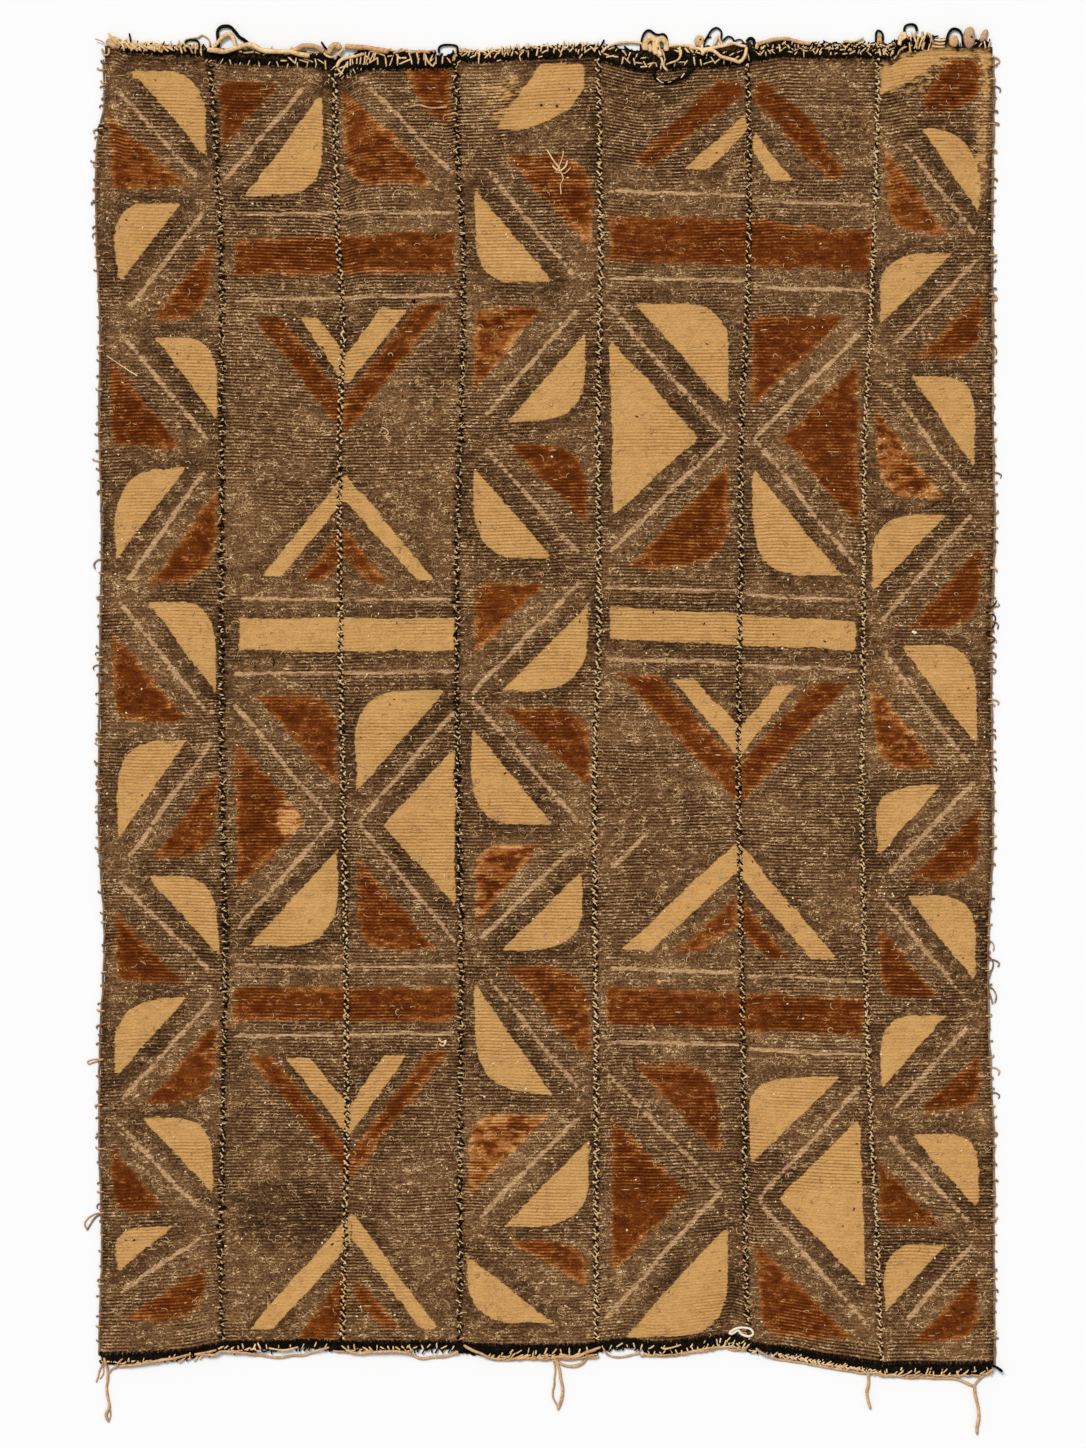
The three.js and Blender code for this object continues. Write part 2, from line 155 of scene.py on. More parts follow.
def smoothColumn(values, places):
    # smooth curve through a column of the edge table
    knots = np.array(edgeStations, float)
    levels = np.array(values, float)
    last = len(knots) - 1
    i = np.clip(np.searchsorted(-knots, -places, side="left"), 1, last)
    before = levels[np.maximum(i - 2, 0)]
    start = levels[i - 1]
    end = levels[i]
    after = levels[np.minimum(i + 1, last)]
    t = np.clip((places - knots[i - 1]) / (knots[i] - knots[i - 1]), 0, 1)
    slopeStart = (end - before) / 2
    slopeEnd = (after - start) / 2
    bend = 2 * (start - end) + slopeStart + slopeEnd
    lean = 3 * (end - start) - 2 * slopeStart - slopeEnd
    return start + slopeStart * t + lean * t * t + bend * t ** 3


def edgeAt(edge, y):
    return smoothColumn(edgeColumns[edgeNames[edge]], np.asarray(y, float))


def cutAt(cut, x):
    places = np.array(cut, float)
    return np.interp(x, places[:, 0], places[:, 1])


def liftAt(x, y):
    lift = np.zeros(np.broadcast(x, y).shape)
    for swell in swells:
        turned = math.radians(swell["turn"])
        dx = x - swell["x"]
        dy = y - swell["y"]
        u = (dx * math.cos(turned) + dy * math.sin(turned)) / swell["along"]
        v = (dy * math.cos(turned) - dx * math.sin(turned)) / swell["across"]
        lift = lift + swell["high"] * np.exp(-u * u - v * v)
    return np.maximum(0, lift - clothSizes["swellFloor"])


def grain(x, y, cellX, cellY, seed):
    # soft random hills between -1 and 1, about one to a cell
    rows = int(grainReach["high"] / cellY) + 4
    columns = int(grainReach["wide"] / cellX) + 4
    hills = np.random.default_rng(seed).uniform(-1, 1, (rows, columns))
    u = np.clip((x + grainReach["left"]) / cellX, 0, columns - 1.001)
    v = np.clip((y + grainReach["below"]) / cellY, 0, rows - 1.001)
    column = u.astype(int)
    row = v.astype(int)
    du = u - column
    dv = v - row
    du = du * du * (3 - 2 * du)
    dv = dv * dv * (3 - 2 * dv)
    low = hills[row, column] * (1 - du) + hills[row, column + 1] * du
    high = hills[row + 1, column] * (1 - du) + hills[row + 1, column + 1] * du
    return low * (1 - dv) + high * dv


def yarnTone(x, yarnNumber, cell, seed):
    # a soft run of tones along each weft yarn, its own on every yarn
    columns = int(grainReach["wide"] / cell) + 4
    tones = np.random.default_rng(seed).uniform(-1, 1, (grainReach["yarns"], columns))
    u = np.clip((x + grainReach["left"]) / cell, 0, columns - 1.001)
    column = u.astype(int)
    row = np.clip(yarnNumber.astype(int), 0, grainReach["yarns"] - 1)
    share = u - column
    share = share * share * (3 - 2 * share)
    return tones[row, column] * (1 - share) + tones[row, column + 1] * share


def softStep(low, high, value):
    share = np.clip((value - low) / (high - low), 0, 1)
    return share * share * (3 - 2 * share)


# Painted pattern, placed on the chart

# A leaf: upper tip, lower tip, outer corner, how far the corner is rounded, how worn its paint is,
# and in some how far the long side swells
leafColumns = ("topX", "topY", "lowX", "lowY", "cornerX", "cornerY", "rounding", "worn", "belly")
tanLeaves = rowsOf(leafColumns, [
    (-475, 756, -390, 657, -393, 755, 0.55, 0), (-420, 603, -490, 511, -499, 603, 0.55, 0),
    (-449, 450, -378, 356, -378, 452, 0.55, 0), (-413, 301, -493, 197, -497, 299, 0.70, 0),
    (-457, 146, -378, 43, -380, 147, 0.50, 0), (-412, -11, -490, -122, -496, -13, 0.65, 0),
    (-456, -167, -376, -258, -378, -166, 0.60, 0), (-413, -305, -494, -398, -497, -309, 0.70, 0),
    (-464, -443, -383, -530, -382, -443, 0.60, 0), (-429, -568, -490, -621, -498, -570, 0.60, 0),
    (-259, 728, -346, 612, -252, 616, 0.55, 0), (-240, -136, -340, -247, -240, -245, 0.55, 0),
    (-117, 46, -217, -70, -221, 46, 0.55, 0),
    (-83, 622, 6, 514, -79, 514, 0.45, 0), (45, 454, -45, 354, 45, 356, 0.60, 0),
    (-84, 303, 6, 198, -81, 198, 0.55, 0), (46, 144, -50, 46, 46, 46, 0.60, 0),
    (-87, 4, 7, -107, -84, -107, 0.50, 0), (41, -161, -53, -252, 43, -252, 0.60, 0),
    (-84, -288, 7, -418, -79, -406, 0.50, 0), (48, -470, -49, -568, 48, -568, 0.60, 0),
    (-90, -602, 7, -678, -88, -678, 0.60, 0),
    (101, 488, 209, 371, 209, 489, 0.50, 0), (236, 302, 339, 177, 237, 180, 0.50, 0),
    (207, -567, 89, -695, 207, -693, 0.50, 0), (337, -396, 233, -497, 230, -398, 0.45, 0),
    (458, 776, 381, 727, 387, 766, 0.50, 0, 6), (429, 690, 496, 592, 496, 688, 0.80, 0),
    (466, 547, 382, 466, 380, 546, 0.60, 0), (419, 406, 490, 299, 492, 406, 0.50, 0),
    (459, 247, 373, 160, 372, 246, 0.60, 0), (406, 98, 492, -17, 492, 98, 0.50, 0),
    (451, -62, 381, -144, 373, -65, 0.60, 0), (411, -189, 492, -288, 492, -189, 0.50, 0),
    (458, -326, 384, -409, 382, -327, 0.55, 0), (419, -464, 496, -550, 496, -462, 0.50, 0),
    (458, -588, 388, -665, 386, -590, 0.55, 0),
])
rustLeaves = rowsOf(leafColumns, [
    (-503, 708, -409, 624, -498, 619, 0.10, 0.45), (-381, 564, -452, 470, -387, 472, 0.60, 0.20),
    (-501, 427, -417, 324, -498, 326, 0.25, 0.10), (-378, 276, -458, 166, -379, 172, 0.55, 0.30),
    (-498, 113, -411, 12, -493, 10, 0.20, 0.10), (-376, -44, -452, -147, -379, -139, 0.50, 0.40),
    (-494, -208, -415, -288, -493, -288, 0.25, 0.10), (-378, -335, -461, -428, -381, -426, 0.55, 0.30),
    (-498, -476, -435, -550, -496, -552, 0.35, 0.10), (-390, -614, -484, -674, -393, -681, 0.60, 0.30),
    (-306, 743, -373, 668, -374, 744, 0.10, 0.10, 3), (-165, 764, -112, 692, -110, 764, 0.15, 0.30, 11),
    (-235, 735, -128, 624, -232, 626, 0.35, 0.50, 7), (-336, 41, -240, -64, -240, 42, 0.40, 0.30),
    (-217, -144, -125, -252, -216, -249, 0.35, 0.30),
    (-50, 660, 52, 548, 54, 660, 0.50, 0.55), (-2, 486, -85, 387, -85, 486, 0.30, 0.70),
    (-43, 328, 46, 236, 48, 328, 0.60, 0.20), (-1, 169, -84, 84, -84, 169, 0.30, 0.30),
    (-53, 27, 49, -66, 49, 27, 0.50, 0.30), (-4, -130, -82, -224, -84, -130, 0.40, 0.80),
    (-49, -269, 50, -380, 52, -269, 0.60, 0.45), (5, -438, -90, -541, -89, -438, 0.35, 0.90),
    (-49, -582, 46, -639, 48, -584, 0.60, 0.50),
    (209, 305, 91, 185, 209, 187, 0.50, 0.30), (342, 475, 236, 371, 236, 475, 0.12, 0.20, 3),
    (97, -380, 200, -491, 197, -382, 0.50, 0.30), (241, -585, 350, -697, 245, -696, 0.30, 0.30),
    (385, 673, 461, 567, 391, 571, 0.45, 0.45),
    (498, 503, 423, 426, 499, 429, 0.50, 0.20), (374, 374, 457, 265, 380, 266, 0.50, 0.80),
    (497, 213, 414, 117, 497, 121, 0.50, 0.20), (373, 58, 450, -44, 375, -42, 0.45, 0.60),
    (496, -89, 414, -174, 496, -171, 0.50, 0.20), (380, -222, 451, -307, 382, -305, 0.30, 0.20),
    (497, -370, 425, -436, 497, -435, 0.50, 0.20), (380, -494, 453, -568, 382, -566, 0.30, 0.20),
    (494, -622, 417, -703, 494, -698, 0.45, 0.20),
])

# Pale lines from one place to another
paleLines = rowsOf(("fromX", "fromY", "toX", "toY"), [
    (-489, 732, -403, 635), (-395, 593, -477, 485), (-486, 452, -390, 335), (-393, 295, -478, 174),
    (-488, 146, -390, 23), (-386, -15, -478, -144), (-488, -174, -387, -274), (-386, -311, -483, -419),
    (-490, -451, -403, -544), (-399, -583, -484, -641), (-280, 735, -367, 632), (-213, 748, -109, 640),
    (-357, 29, -246, -103), (-246, -103, -352, -226), (-108, 21, -215, -105), (-215, -105, -106, -241),
    (-68, 643, 30, 522), (35, 481, -68, 364), (-68, 323, 36, 203), (38, 170, -84, 43), (-84, 33, 33, -101),
    (29, -136, -75, -237), (-65, -286, 35, -409), (35, -444, -76, -558), (70, 488, 205, 336),
    (205, 336, 74, 206), (357, 454, 239, 335), (239, 335, 351, 191), (72, -396, 200, -527),
    (200, -527, 68, -673), (358, -409, 242, -538), (242, -538, 365, -679), (409, 673, 490, 570),
    (492, 537, 399, 444), (394, 396, 482, 272), (485, 244, 386, 128), (387, 89, 481, -35),
    (489, -58, 395, -161), (387, -194, 476, -302), (482, -340, 401, -430), (395, -467, 484, -563),
    (485, -592, 413, -674), (-356, 592, -106, 594), (-356, 493, -106, 500), (-349, 150, -112, 150),
    (-356, 65, -106, 68), (-356, -269, -106, -271), (-356, -350, -108, -347), (73, 618, 225, 613),
    (239, 608, 371, 602), (73, 519, 225, 515), (239, 509, 368, 503), (70, 164, 219, 160),
    (229, 155, 357, 150), (70, 82, 217, 77), (229, 75, 355, 68), (77, -158, 112, -120),
    (73, -272, 219, -277), (229, -280, 362, -287), (70, -357, 219, -360), (231, -365, 364, -372),
])

# Bars, chevrons and triangles on the paired strips, corner by corner
rustShapes = {
    "upper bar, strips 2 and 3": [(-358, 562), (-106, 572), (-106, 524), (-358, 522)],
    "chevron below it, left arm": [(-336, 474), (-304, 474), (-232, 380), (-232, 338)],
    "chevron below it, right arm": [(-114, 490), (-147, 490), (-232, 380), (-232, 337)],
    "roof, left arm": [(-233, 236), (-233, 195), (-257, 172), (-281, 172)],
    "roof, right arm": [(-233, 236), (-233, 200), (-201, 167), (-182, 167)],
    "triangle on strip 2": [(-356, -11), (-272, -103), (-356, -183)],
    "lower bar, strips 2 and 3": [(-359, -294), (-105, -294), (-105, -333), (-359, -333)],
    "low chevron, left arm": [(-343, -372), (-315, -372), (-225, -481), (-225, -515)],
    "low chevron, right arm": [(-111, -366), (-136, -366), (-225, -481), (-225, -515)],
    "low roof, left arm": [(-230, -614), (-230, -664), (-245, -697), (-286, -697)],
    "low roof, right arm": [(-221, -624), (-221, -653), (-185, -687), (-166, -685)],
    "top roof, strip 5": [(197, 746), (224, 741), (226, 728), (123, 647), (104, 647), (105, 658)],
    "top roof, strip 6": [(240, 744), (251, 743), (308, 694), (338, 645), (340, 632), (324, 630),
                          (236, 724)],
    "top corner of strip 7": [(464, 770), (493, 771), (500, 750), (496, 733), (484, 718), (461, 711),
                              (436, 706), (431, 722), (445, 746)],
    "upper bar, strips 5 and 6": [(72, 590), (227, 586), (372, 572), (372, 525), (227, 532), (72, 540)],
    "triangle on strip 6": [(357, 422), (269, 335), (357, 232)],
    "chevron, strip 5": [(82, 64), (128, 62), (222, -37), (222, -84)],
    "chevron, strip 6": [(348, 54), (305, 54), (222, -37), (222, -84)],
    "roof, strip 5": [(218, -189), (218, -226), (176, -254), (147, -254)],
    "roof, strip 6": [(221, -189), (221, -229), (254, -262), (279, -262)],
    "lower bar, strips 5 and 6": [(69, -292), (363, -307), (363, -350), (69, -336)],
    "triangle on strip 5": [(74, -443), (163, -529), (74, -625)],
}
tanShapes = {
    "fan at the top of strip 4": [(-7, 763), (44, 764), (42, 734), (25, 711), (-2, 696), (-30, 688),
                                  (-57, 690)],
    "chevron, strip 2": [(-282, 472), (-263, 472), (-227, 427), (-231, 395)],
    "chevron, strip 3": [(-158, 483), (-190, 483), (-229, 431), (-231, 393)],
    "roof, strip 2": [(-231, 294), (-231, 264), (-304, 176), (-326, 176)],
    "roof, strip 3": [(-231, 294), (-231, 264), (-147, 172), (-127, 172)],
    "bar, strips 2 and 3": [(-352, 129), (-106, 129), (-106, 91), (-352, 91)],
    "triangle on strip 3": [(-105, -20), (-187, -108), (-105, -200)],
    "low chevron, strip 2": [(-299, -375), (-273, -375), (-226, -429), (-226, -464)],
    "low chevron, strip 3": [(-161, -372), (-186, -372), (-226, -429), (-226, -464)],
    "low roof, strip 2": [(-225, -555), (-225, -587), (-313, -686), (-341, -686)],
    "low roof, strip 3": [(-223, -551), (-223, -582), (-145, -685), (-125, -685)],
    "small roof, strip 5": [(230, 708), (230, 688), (185, 642), (158, 642)],
    "small roof, strip 6": [(236, 688), (236, 665), (258, 630), (282, 630)],
    "triangle on strip 5": [(73, 449), (174, 336), (76, 245)],
    "bar, strips 5 and 6": [(72, 142), (354, 125), (354, 92), (72, 105)],
    "chevron, strip 5": [(145, 58), (168, 58), (221, 3), (221, -30)],
    "chevron, strip 6": [(286, 52), (263, 52), (221, 3), (221, -30)],
    "roof, strip 5": [(218, -127), (218, -162), (121, -252), (85, -252)],
    "roof, strip 6": [(219, -127), (219, -162), (304, -262), (334, -262)],
    "triangle on strip 6": [(359, -444), (266, -537), (366, -638)],
}

# Soft marks: middle, half sizes and strength. Dark ones dim the cloth
markColumns = ("x", "y", "wide", "high", "strength")
darkMarks = rowsOf(markColumns, [
    (-300, -552, 66, 42, 0.48), (115, 735, 60, 26, 0.30), (-6, 717, 6, 4, 0.6), (12, 716, 5, 4, 0.6),
    (-475, 745, 30, 20, 0.12), (60, 650, 16, 60, 0.3), (-236, 748, 26, 20, 0.5), (394, 745, 14, 28, 0.25),
    (150, -655, 60, 46, 0.12),
])

# Where the rust is worn thin
wornMarks = rowsOf(markColumns, [
    (-288, -100, 24, 24, 1.6), (395, 640, 10, 60, 0.7), (-360, 540, 20, 14, 0.4),
])

# Where the cloth is paler
paleMarks = rowsOf(markColumns, [
    (-75, 715, 30, 40, 0.8), (-330, 735, 22, 14, 0.4), (500, 690, 12, 100, 0.7), (440, 766, 50, 14, 0.6),
    (-300, 100, 60, 18, 0.2), (-490, 690, 20, 60, 0.2), (-38, -165, 46, 42, 0.6), (-30, 140, 40, 30, 0.3),
    (-40, -500, 44, 40, 0.4), (445, -30, 60, 150, 0.25), (300, -420, 80, 120, 0.25),
    (465, -690, 50, 50, 0.3), (90, -680, 50, 40, 0.4), (290, -20, 80, 110, 0.12), (-460, 20, 46, 130, 0.25),
    (0, -450, 40, 36, 0.3), (310, 730, 60, 40, 0.2), (-130, 340, 60, 60, 0.15),
])

# Thin tan paint that only tints the cloth
washMarks = rowsOf(markColumns, [
    (455, 772, 66, 15, 1.1), (502, 745, 8, 44, 0.9), (412, 748, 40, 26, 0.6), (-46, 720, 34, 34, 0.7),
    (-462, 752, 26, 8, 0.7), (498, 690, 8, 90, 0.6),
])

# Where the weft ribs stand out most
ribMarks = rowsOf(markColumns, [
    (-75, 700, 40, 60, 0.9), (-150, 700, 60, 50, 0.5), (-440, 690, 60, 50, 0.4), (-300, 570, 70, 40, 0.4),
    (-30, 600, 60, 60, 0.5), (440, 720, 60, 60, 0.5), (130, 700, 90, 60, 0.5), (300, 700, 60, 50, 0.4),
])

paint = {
    "lineWide": 3.2,       # a pale line
    "ruleWide": 4.5,       # a long level one
    "handWander": 1.3,     # how far a painted edge strays
    "tanStep": 0.9,        # paint creeping along one weft yarn
    "rustStep": 1.5,
    "band": 15,            # dark ground round the tan shapes
    "bandDark": 0.27,
    "clearing": 0.24,      # paler ground beyond it
    "clearingFar": 30,     # from the tan shape to its middle
    "shapeWorn": 0.25,     # wear of the rust bars, chevrons and triangles
    "noPaint": -30.0,      # distance given to places far outside every shape
    "noWash": -3.0,
}


def segmentDistance(x, y, fromX, fromY, toX, toY):
    dx = toX - fromX
    dy = toY - fromY
    share = np.clip(((x - fromX) * dx + (y - fromY) * dy) / (dx * dx + dy * dy), 0, 1)
    return np.hypot(x - fromX - share * dx, y - fromY - share * dy)


def insideDistance(x, y, outline):
    # millimetres inside a closed outline, negative outside it
    nearest = np.full(x.shape, 1e6)
    inside = np.zeros(x.shape, bool)
    for (fromX, fromY), (toX, toY) in zip(outline, outline[1:] + outline[:1]):
        nearest = np.minimum(nearest, segmentDistance(x, y, fromX, fromY, toX, toY))
        if fromY != toY:
            crossing = fromX + (y - fromY) * (toX - fromX) / (toY - fromY)
            inside ^= ((fromY > y) != (toY > y)) & (x < crossing)
    return np.where(inside, nearest, -nearest)


def leafOutline(leaf):
    # straight back from tip to tip, and a rounded outer corner
    top = np.array((leaf["topX"], leaf["topY"]), float)
    low = np.array((leaf["lowX"], leaf["lowY"]), float)
    corner = np.array((leaf["cornerX"], leaf["cornerY"]), float)
    start = corner + (top - corner) * leaf["rounding"]
    end = corner + (low - corner) * leaf["rounding"]
    outline = [tuple(top)]
    for t in np.linspace(0, 1, 8):
        outline.append(tuple(start * (1 - t) ** 2 + corner * 2 * t * (1 - t) + end * t * t))
    outline.append(tuple(low))
    # some swell on their long side too
    belly = leaf.get("belly", 0)
    if belly:
        away = (top + low) / 2 - corner
        away = away / np.linalg.norm(away)
        for t in (0.25, 0.5, 0.75):
            outline.append(tuple(low + (top - low) * t + away * belly * math.sin(math.pi * t)))
    return outline


def nearBox(x, y, corners):
    # the places so close to a shape that its distance matters
    low = np.min(corners, axis=0) + paint["noPaint"]
    high = np.max(corners, axis=0) - paint["noPaint"]
    return (x > low[0]) & (x < high[0]) & (y > low[1]) & (y < high[1])


def nearestPaint(x, y, outlines, wornOf=None):
    # distance inside the nearest outline, and how worn that one is
    best = np.full(x.shape, paint["noPaint"])
    worn = np.zeros(x.shape)
    for outline, wear in zip(outlines, wornOf or [0] * len(outlines)):
        near = nearBox(x, y, outline)
        if not near.any():
            continue
        inside = insideDistance(x[near], y[near], outline)
        better = inside > best[near]
        spots = np.flatnonzero(near)[better]
        best.flat[spots] = inside[better]
        worn.flat[spots] = wear
    return best, worn


def markSpot(mark, x, y):
    # 0 in the middle of a soft mark, 1 on its rim
    return ((x - mark["x"]) / mark["wide"]) ** 2 + ((y - mark["y"]) / mark["high"]) ** 2


def linePaint(x, y):
    # distance inside the nearest pale line; the long level ones are wider but hold less paint
    inside = np.full(x.shape, paint["noPaint"])
    for row in paleLines:
        level = abs(row["toY"] - row["fromY"]) < 12
        half = (paint["ruleWide"] if level else paint["lineWide"]) / 2
        near = nearBox(x, y, [(row["fromX"], row["fromY"]), (row["toX"], row["toY"])])
        reach = half - segmentDistance(x[near], y[near], **row)
        reach = reach + (-0.5 if level else 0.8)
        inside[near] = np.maximum(inside[near], reach)
    return inside


def paintAt(x, y, ribNumber, seed):
    # the painter's hand strays a little, and the paint creeps along single yarns
    strayX = paint["handWander"] * (grain(x, y, 34, 34, 11) + 0.45 * grain(x, y, 9, 9, 12))
    strayY = paint["handWander"] * (grain(x, y, 34, 34, 13) + 0.45 * grain(x, y, 9, 9, 14))
    handX = x + strayX
    handY = y + strayY
    creep = yarnTone(x, ribNumber, 7, 15 + seed)
    longCreep = yarnTone(x, ribNumber, 22, 35 + seed)
    broadShapes = [leafOutline(leaf) for leaf in tanLeaves]
    narrowShapes = []
    for name, outline in tanShapes.items():
        solid = "bar" in name or "triangle" in name
        (broadShapes if solid else narrowShapes).append(outline)
    broad, _ = nearestPaint(handX, handY, broadShapes)
    narrow, _ = nearestPaint(handX, handY, narrowShapes)
    tan = np.maximum(broad, narrow)
    rustOutlines = [leafOutline(leaf) for leaf in rustLeaves] + list(rustShapes.values())
    wear = [leaf["worn"] for leaf in rustLeaves] + [paint["shapeWorn"]] * len(rustShapes)
    rust, worn = nearestPaint(handX, handY, rustOutlines, wear)
    wash = np.full(x.shape, paint["noWash"])
    for mark in washMarks:
        spot = markSpot(mark, handX, handY) + 0.3 * grain(x, y, 14, 9, 55)
        wash = np.maximum(wash, paint["noWash"] + (2.2 + mark["strength"]) * softStep(1.6, 0.4, spot))
    wash = wash - 4 * softStep(-2, 3, rust)
    outside = np.clip(-tan, 0, 60)
    # an even dark band lies round each tan shape, as wide as the gap to its pale line
    shade = -paint["bandDark"] * softStep(paint["band"] + 3, paint["band"] - 3, outside) * (tan < 2)
    clear = np.exp(-((np.clip(-broad, 0, 60) - paint["clearingFar"]) / 10) ** 2)
    shade = shade + paint["clearing"] * clear * (0.7 + 0.6 * grain(x, y, 24, 18, 52))
    for mark in darkMarks:
        spot = markSpot(mark, handX, handY) + 0.25 * grain(x, y, 12, 8, 51)
        shade = shade - 1.4 * mark["strength"] * softStep(1.25, 0.55, spot)
    for mark in paleMarks:
        spot = markSpot(mark, handX, handY) + 0.3 * grain(x, y, 12, 8, 53)
        shade = shade + mark["strength"] * softStep(1.4, 0.3, spot)
    for mark in wornMarks:
        worn = np.maximum(worn, mark["strength"] * softStep(1.3, 0.5, markSpot(mark, handX, handY)))
    return {
        "tanPaint": np.maximum(tan, wash) + paint["tanStep"] * creep,
        "rustPaint": rust + paint["rustStep"] * (creep + 0.8 * longCreep),
        "palePaint": linePaint(handX, handY) + 0.7 * creep + 0.5 * longCreep,
        "rustWorn": worn,
        "shade": shade,
    }


# Node helpers

def setSocket(tree, socket, value):
    if isinstance(value, bpy.types.NodeSocket):
        tree.links.new(value, socket)
    else:
        socket.default_value = value


def calc(tree, operation, first, second=0.0, clamp=False):
    node = tree.nodes.new("ShaderNodeMath")
    node.operation = operation
    node.use_clamp = clamp
    setSocket(tree, node.inputs[0], first)
    setSocket(tree, node.inputs[1], second)
    return node.outputs[0]


def plus(tree, total, value, gain, clamp=False):
    # the total with so many times the value added
    return calc(tree, "ADD", total, calc(tree, "MULTIPLY", value, gain), clamp)


def between(tree, value, low, high):
    node = tree.nodes.new("ShaderNodeMapRange")
    node.interpolation_type = "SMOOTHSTEP"
    setSocket(tree, node.inputs["Value"], value)
    node.inputs["From Min"].default_value = low
    node.inputs["From Max"].default_value = high
    return node.outputs["Result"]


def mixColour(tree, share, under, over, blend="MIX"):
    node = tree.nodes.new("ShaderNodeMix")
    node.data_type = "RGBA"
    node.blend_type = blend
    setSocket(tree, node.inputs["Factor"], share)
    setSocket(tree, node.inputs[6], under)
    setSocket(tree, node.inputs[7], over)
    return node.outputs[2]


def dimmed(tree, colour, share):
    # the colour with all its levels taken down alike
    grey = tree.nodes.new("ShaderNodeCombineColor")
    for socket in ("Red", "Green", "Blue"):
        tree.links.new(share, grey.inputs[socket])
    return mixColour(tree, 1.0, colour, grey.outputs["Color"], "MULTIPLY")


def colourRamp(tree, value, stops):
    node = tree.nodes.new("ShaderNodeValToRGB")
    ramp = node.color_ramp
    while len(ramp.elements) < len(stops):
        ramp.elements.new(0.5)
    for element, (place, colour) in zip(ramp.elements, stops):
        element.position = place
        element.color = displayColour(*colour)
    setSocket(tree, node.inputs["Fac"], value)
    return node.outputs["Color"]


def fibreNoise(tree, cell, detail=2.0, roughness=0.5, distortion=0.0, shift=0.0):
    # noise on the piece's own coordinates, with a cell given in millimetres
    place = tree.nodes.new("ShaderNodeTexCoord")
    mapping = tree.nodes.new("ShaderNodeMapping")
    mapping.inputs["Scale"].default_value = tuple(1000 / size for size in cell)
    mapping.inputs["Location"].default_value = (shift, shift * 0.7, shift * 0.3)
    tree.links.new(place.outputs["Object"], mapping.inputs["Vector"])
    noise = tree.nodes.new("ShaderNodeTexNoise")
    noise.inputs["Scale"].default_value = 1
    noise.inputs["Detail"].default_value = detail
    noise.inputs["Roughness"].default_value = roughness
    noise.inputs["Distortion"].default_value = distortion
    tree.links.new(mapping.outputs["Vector"], noise.inputs["Vector"])
    return noise.outputs["Fac"]


def pieceValue(tree, name):
    node = tree.nodes.new("ShaderNodeAttribute")
    node.attribute_name = name
    return node.outputs["Fac"]


def newFinish(name, roughness, sheen=0.03):
    finish = bpy.data.materials.new(name)
    finish.use_nodes = True
    shader = finish.node_tree.nodes["Principled BSDF"]
    shader.inputs["Roughness"].default_value = roughness
    shader.inputs["Specular IOR Level"].default_value = sheen
    return finish, finish.node_tree, shader


def addBump(tree, shader, height, distance):
    bump = tree.nodes.new("ShaderNodeBump")
    bump.inputs["Strength"].default_value = 1
    bump.inputs["Distance"].default_value = distance
    setSocket(tree, bump.inputs["Height"], height)
    tree.links.new(bump.outputs["Normal"], shader.inputs["Normal"])


clothLook = {
    "wormGain": 1.0,       # small curls of handspun yarn
    "streakGain": 0.28,    # short lengths of darker and paler weft
    # painted light on the rib crests and painted shade in their grooves
    "ribGain": 0.26,
    "weftGain": 0.15,
    "blotchGain": 0.18,
    "fibreGain": 0.42,
    "shadeGain": 0.2,      # how far the marks and bands dim the bare cloth
    "shadeDim": 0.22,      # and everything on it
    "bumpHigh": 0.0008,
    "groundTone": 0.442,   # place of the middle tone on the ramp, and how much of the weave shows
    "paleTone": 0.52,
    "paleWeave": 0.8,
    "rustTone": 0.395,
    "rustWeave": 0.44,
    "tanTone": 0.55,
    "tanWeave": 0.6,
    "ground": [(0.0, (30, 19, 10)), (0.25, (68, 46, 28)), (0.5, (117, 83, 52)), (0.72, (160, 119, 77)),
               (1.0, (228, 194, 144))],
    "rust": [(0.0, (46, 17, 4)), (0.3, (80, 34, 8)), (0.52, (112, 55, 17)), (0.74, (168, 102, 48)),
             (1.0, (222, 168, 106))],
    "tan": [(0.0, (128, 84, 40)), (0.26, (178, 128, 72)), (0.5, (204, 154, 92)), (0.75, (218, 171, 108)),
            (1.0, (244, 210, 156))],
    "pale": [(0.0, (110, 80, 52)), (0.35, (164, 126, 88)), (0.65, (214, 173, 128)), (1.0, (242, 213, 170))],
}
paintGains = {
    "paleStreak": 3.0,     # how far the yarns fray a painted edge, in millimetres
    "palePatch": 3.0,
    "rustStreak": 7.0,
    "rustPatch": 6.0,
    "rustWorn": 2.5,
    "tanStreak": 3.0,
    "thinBlotch": 22.0,    # where the rust runs thin
    "rustPatchTone": 0.2,
    "rustRibTone": 0.08,
    "rustWeftTone": 0.07,
    "rustThinTone": 0.2,
    "rustWornTone": 0.33,
    "rustFibreTone": 0.6,
    "tanRibTone": 0.09,
    "tanBlotchTone": 0.9,
}


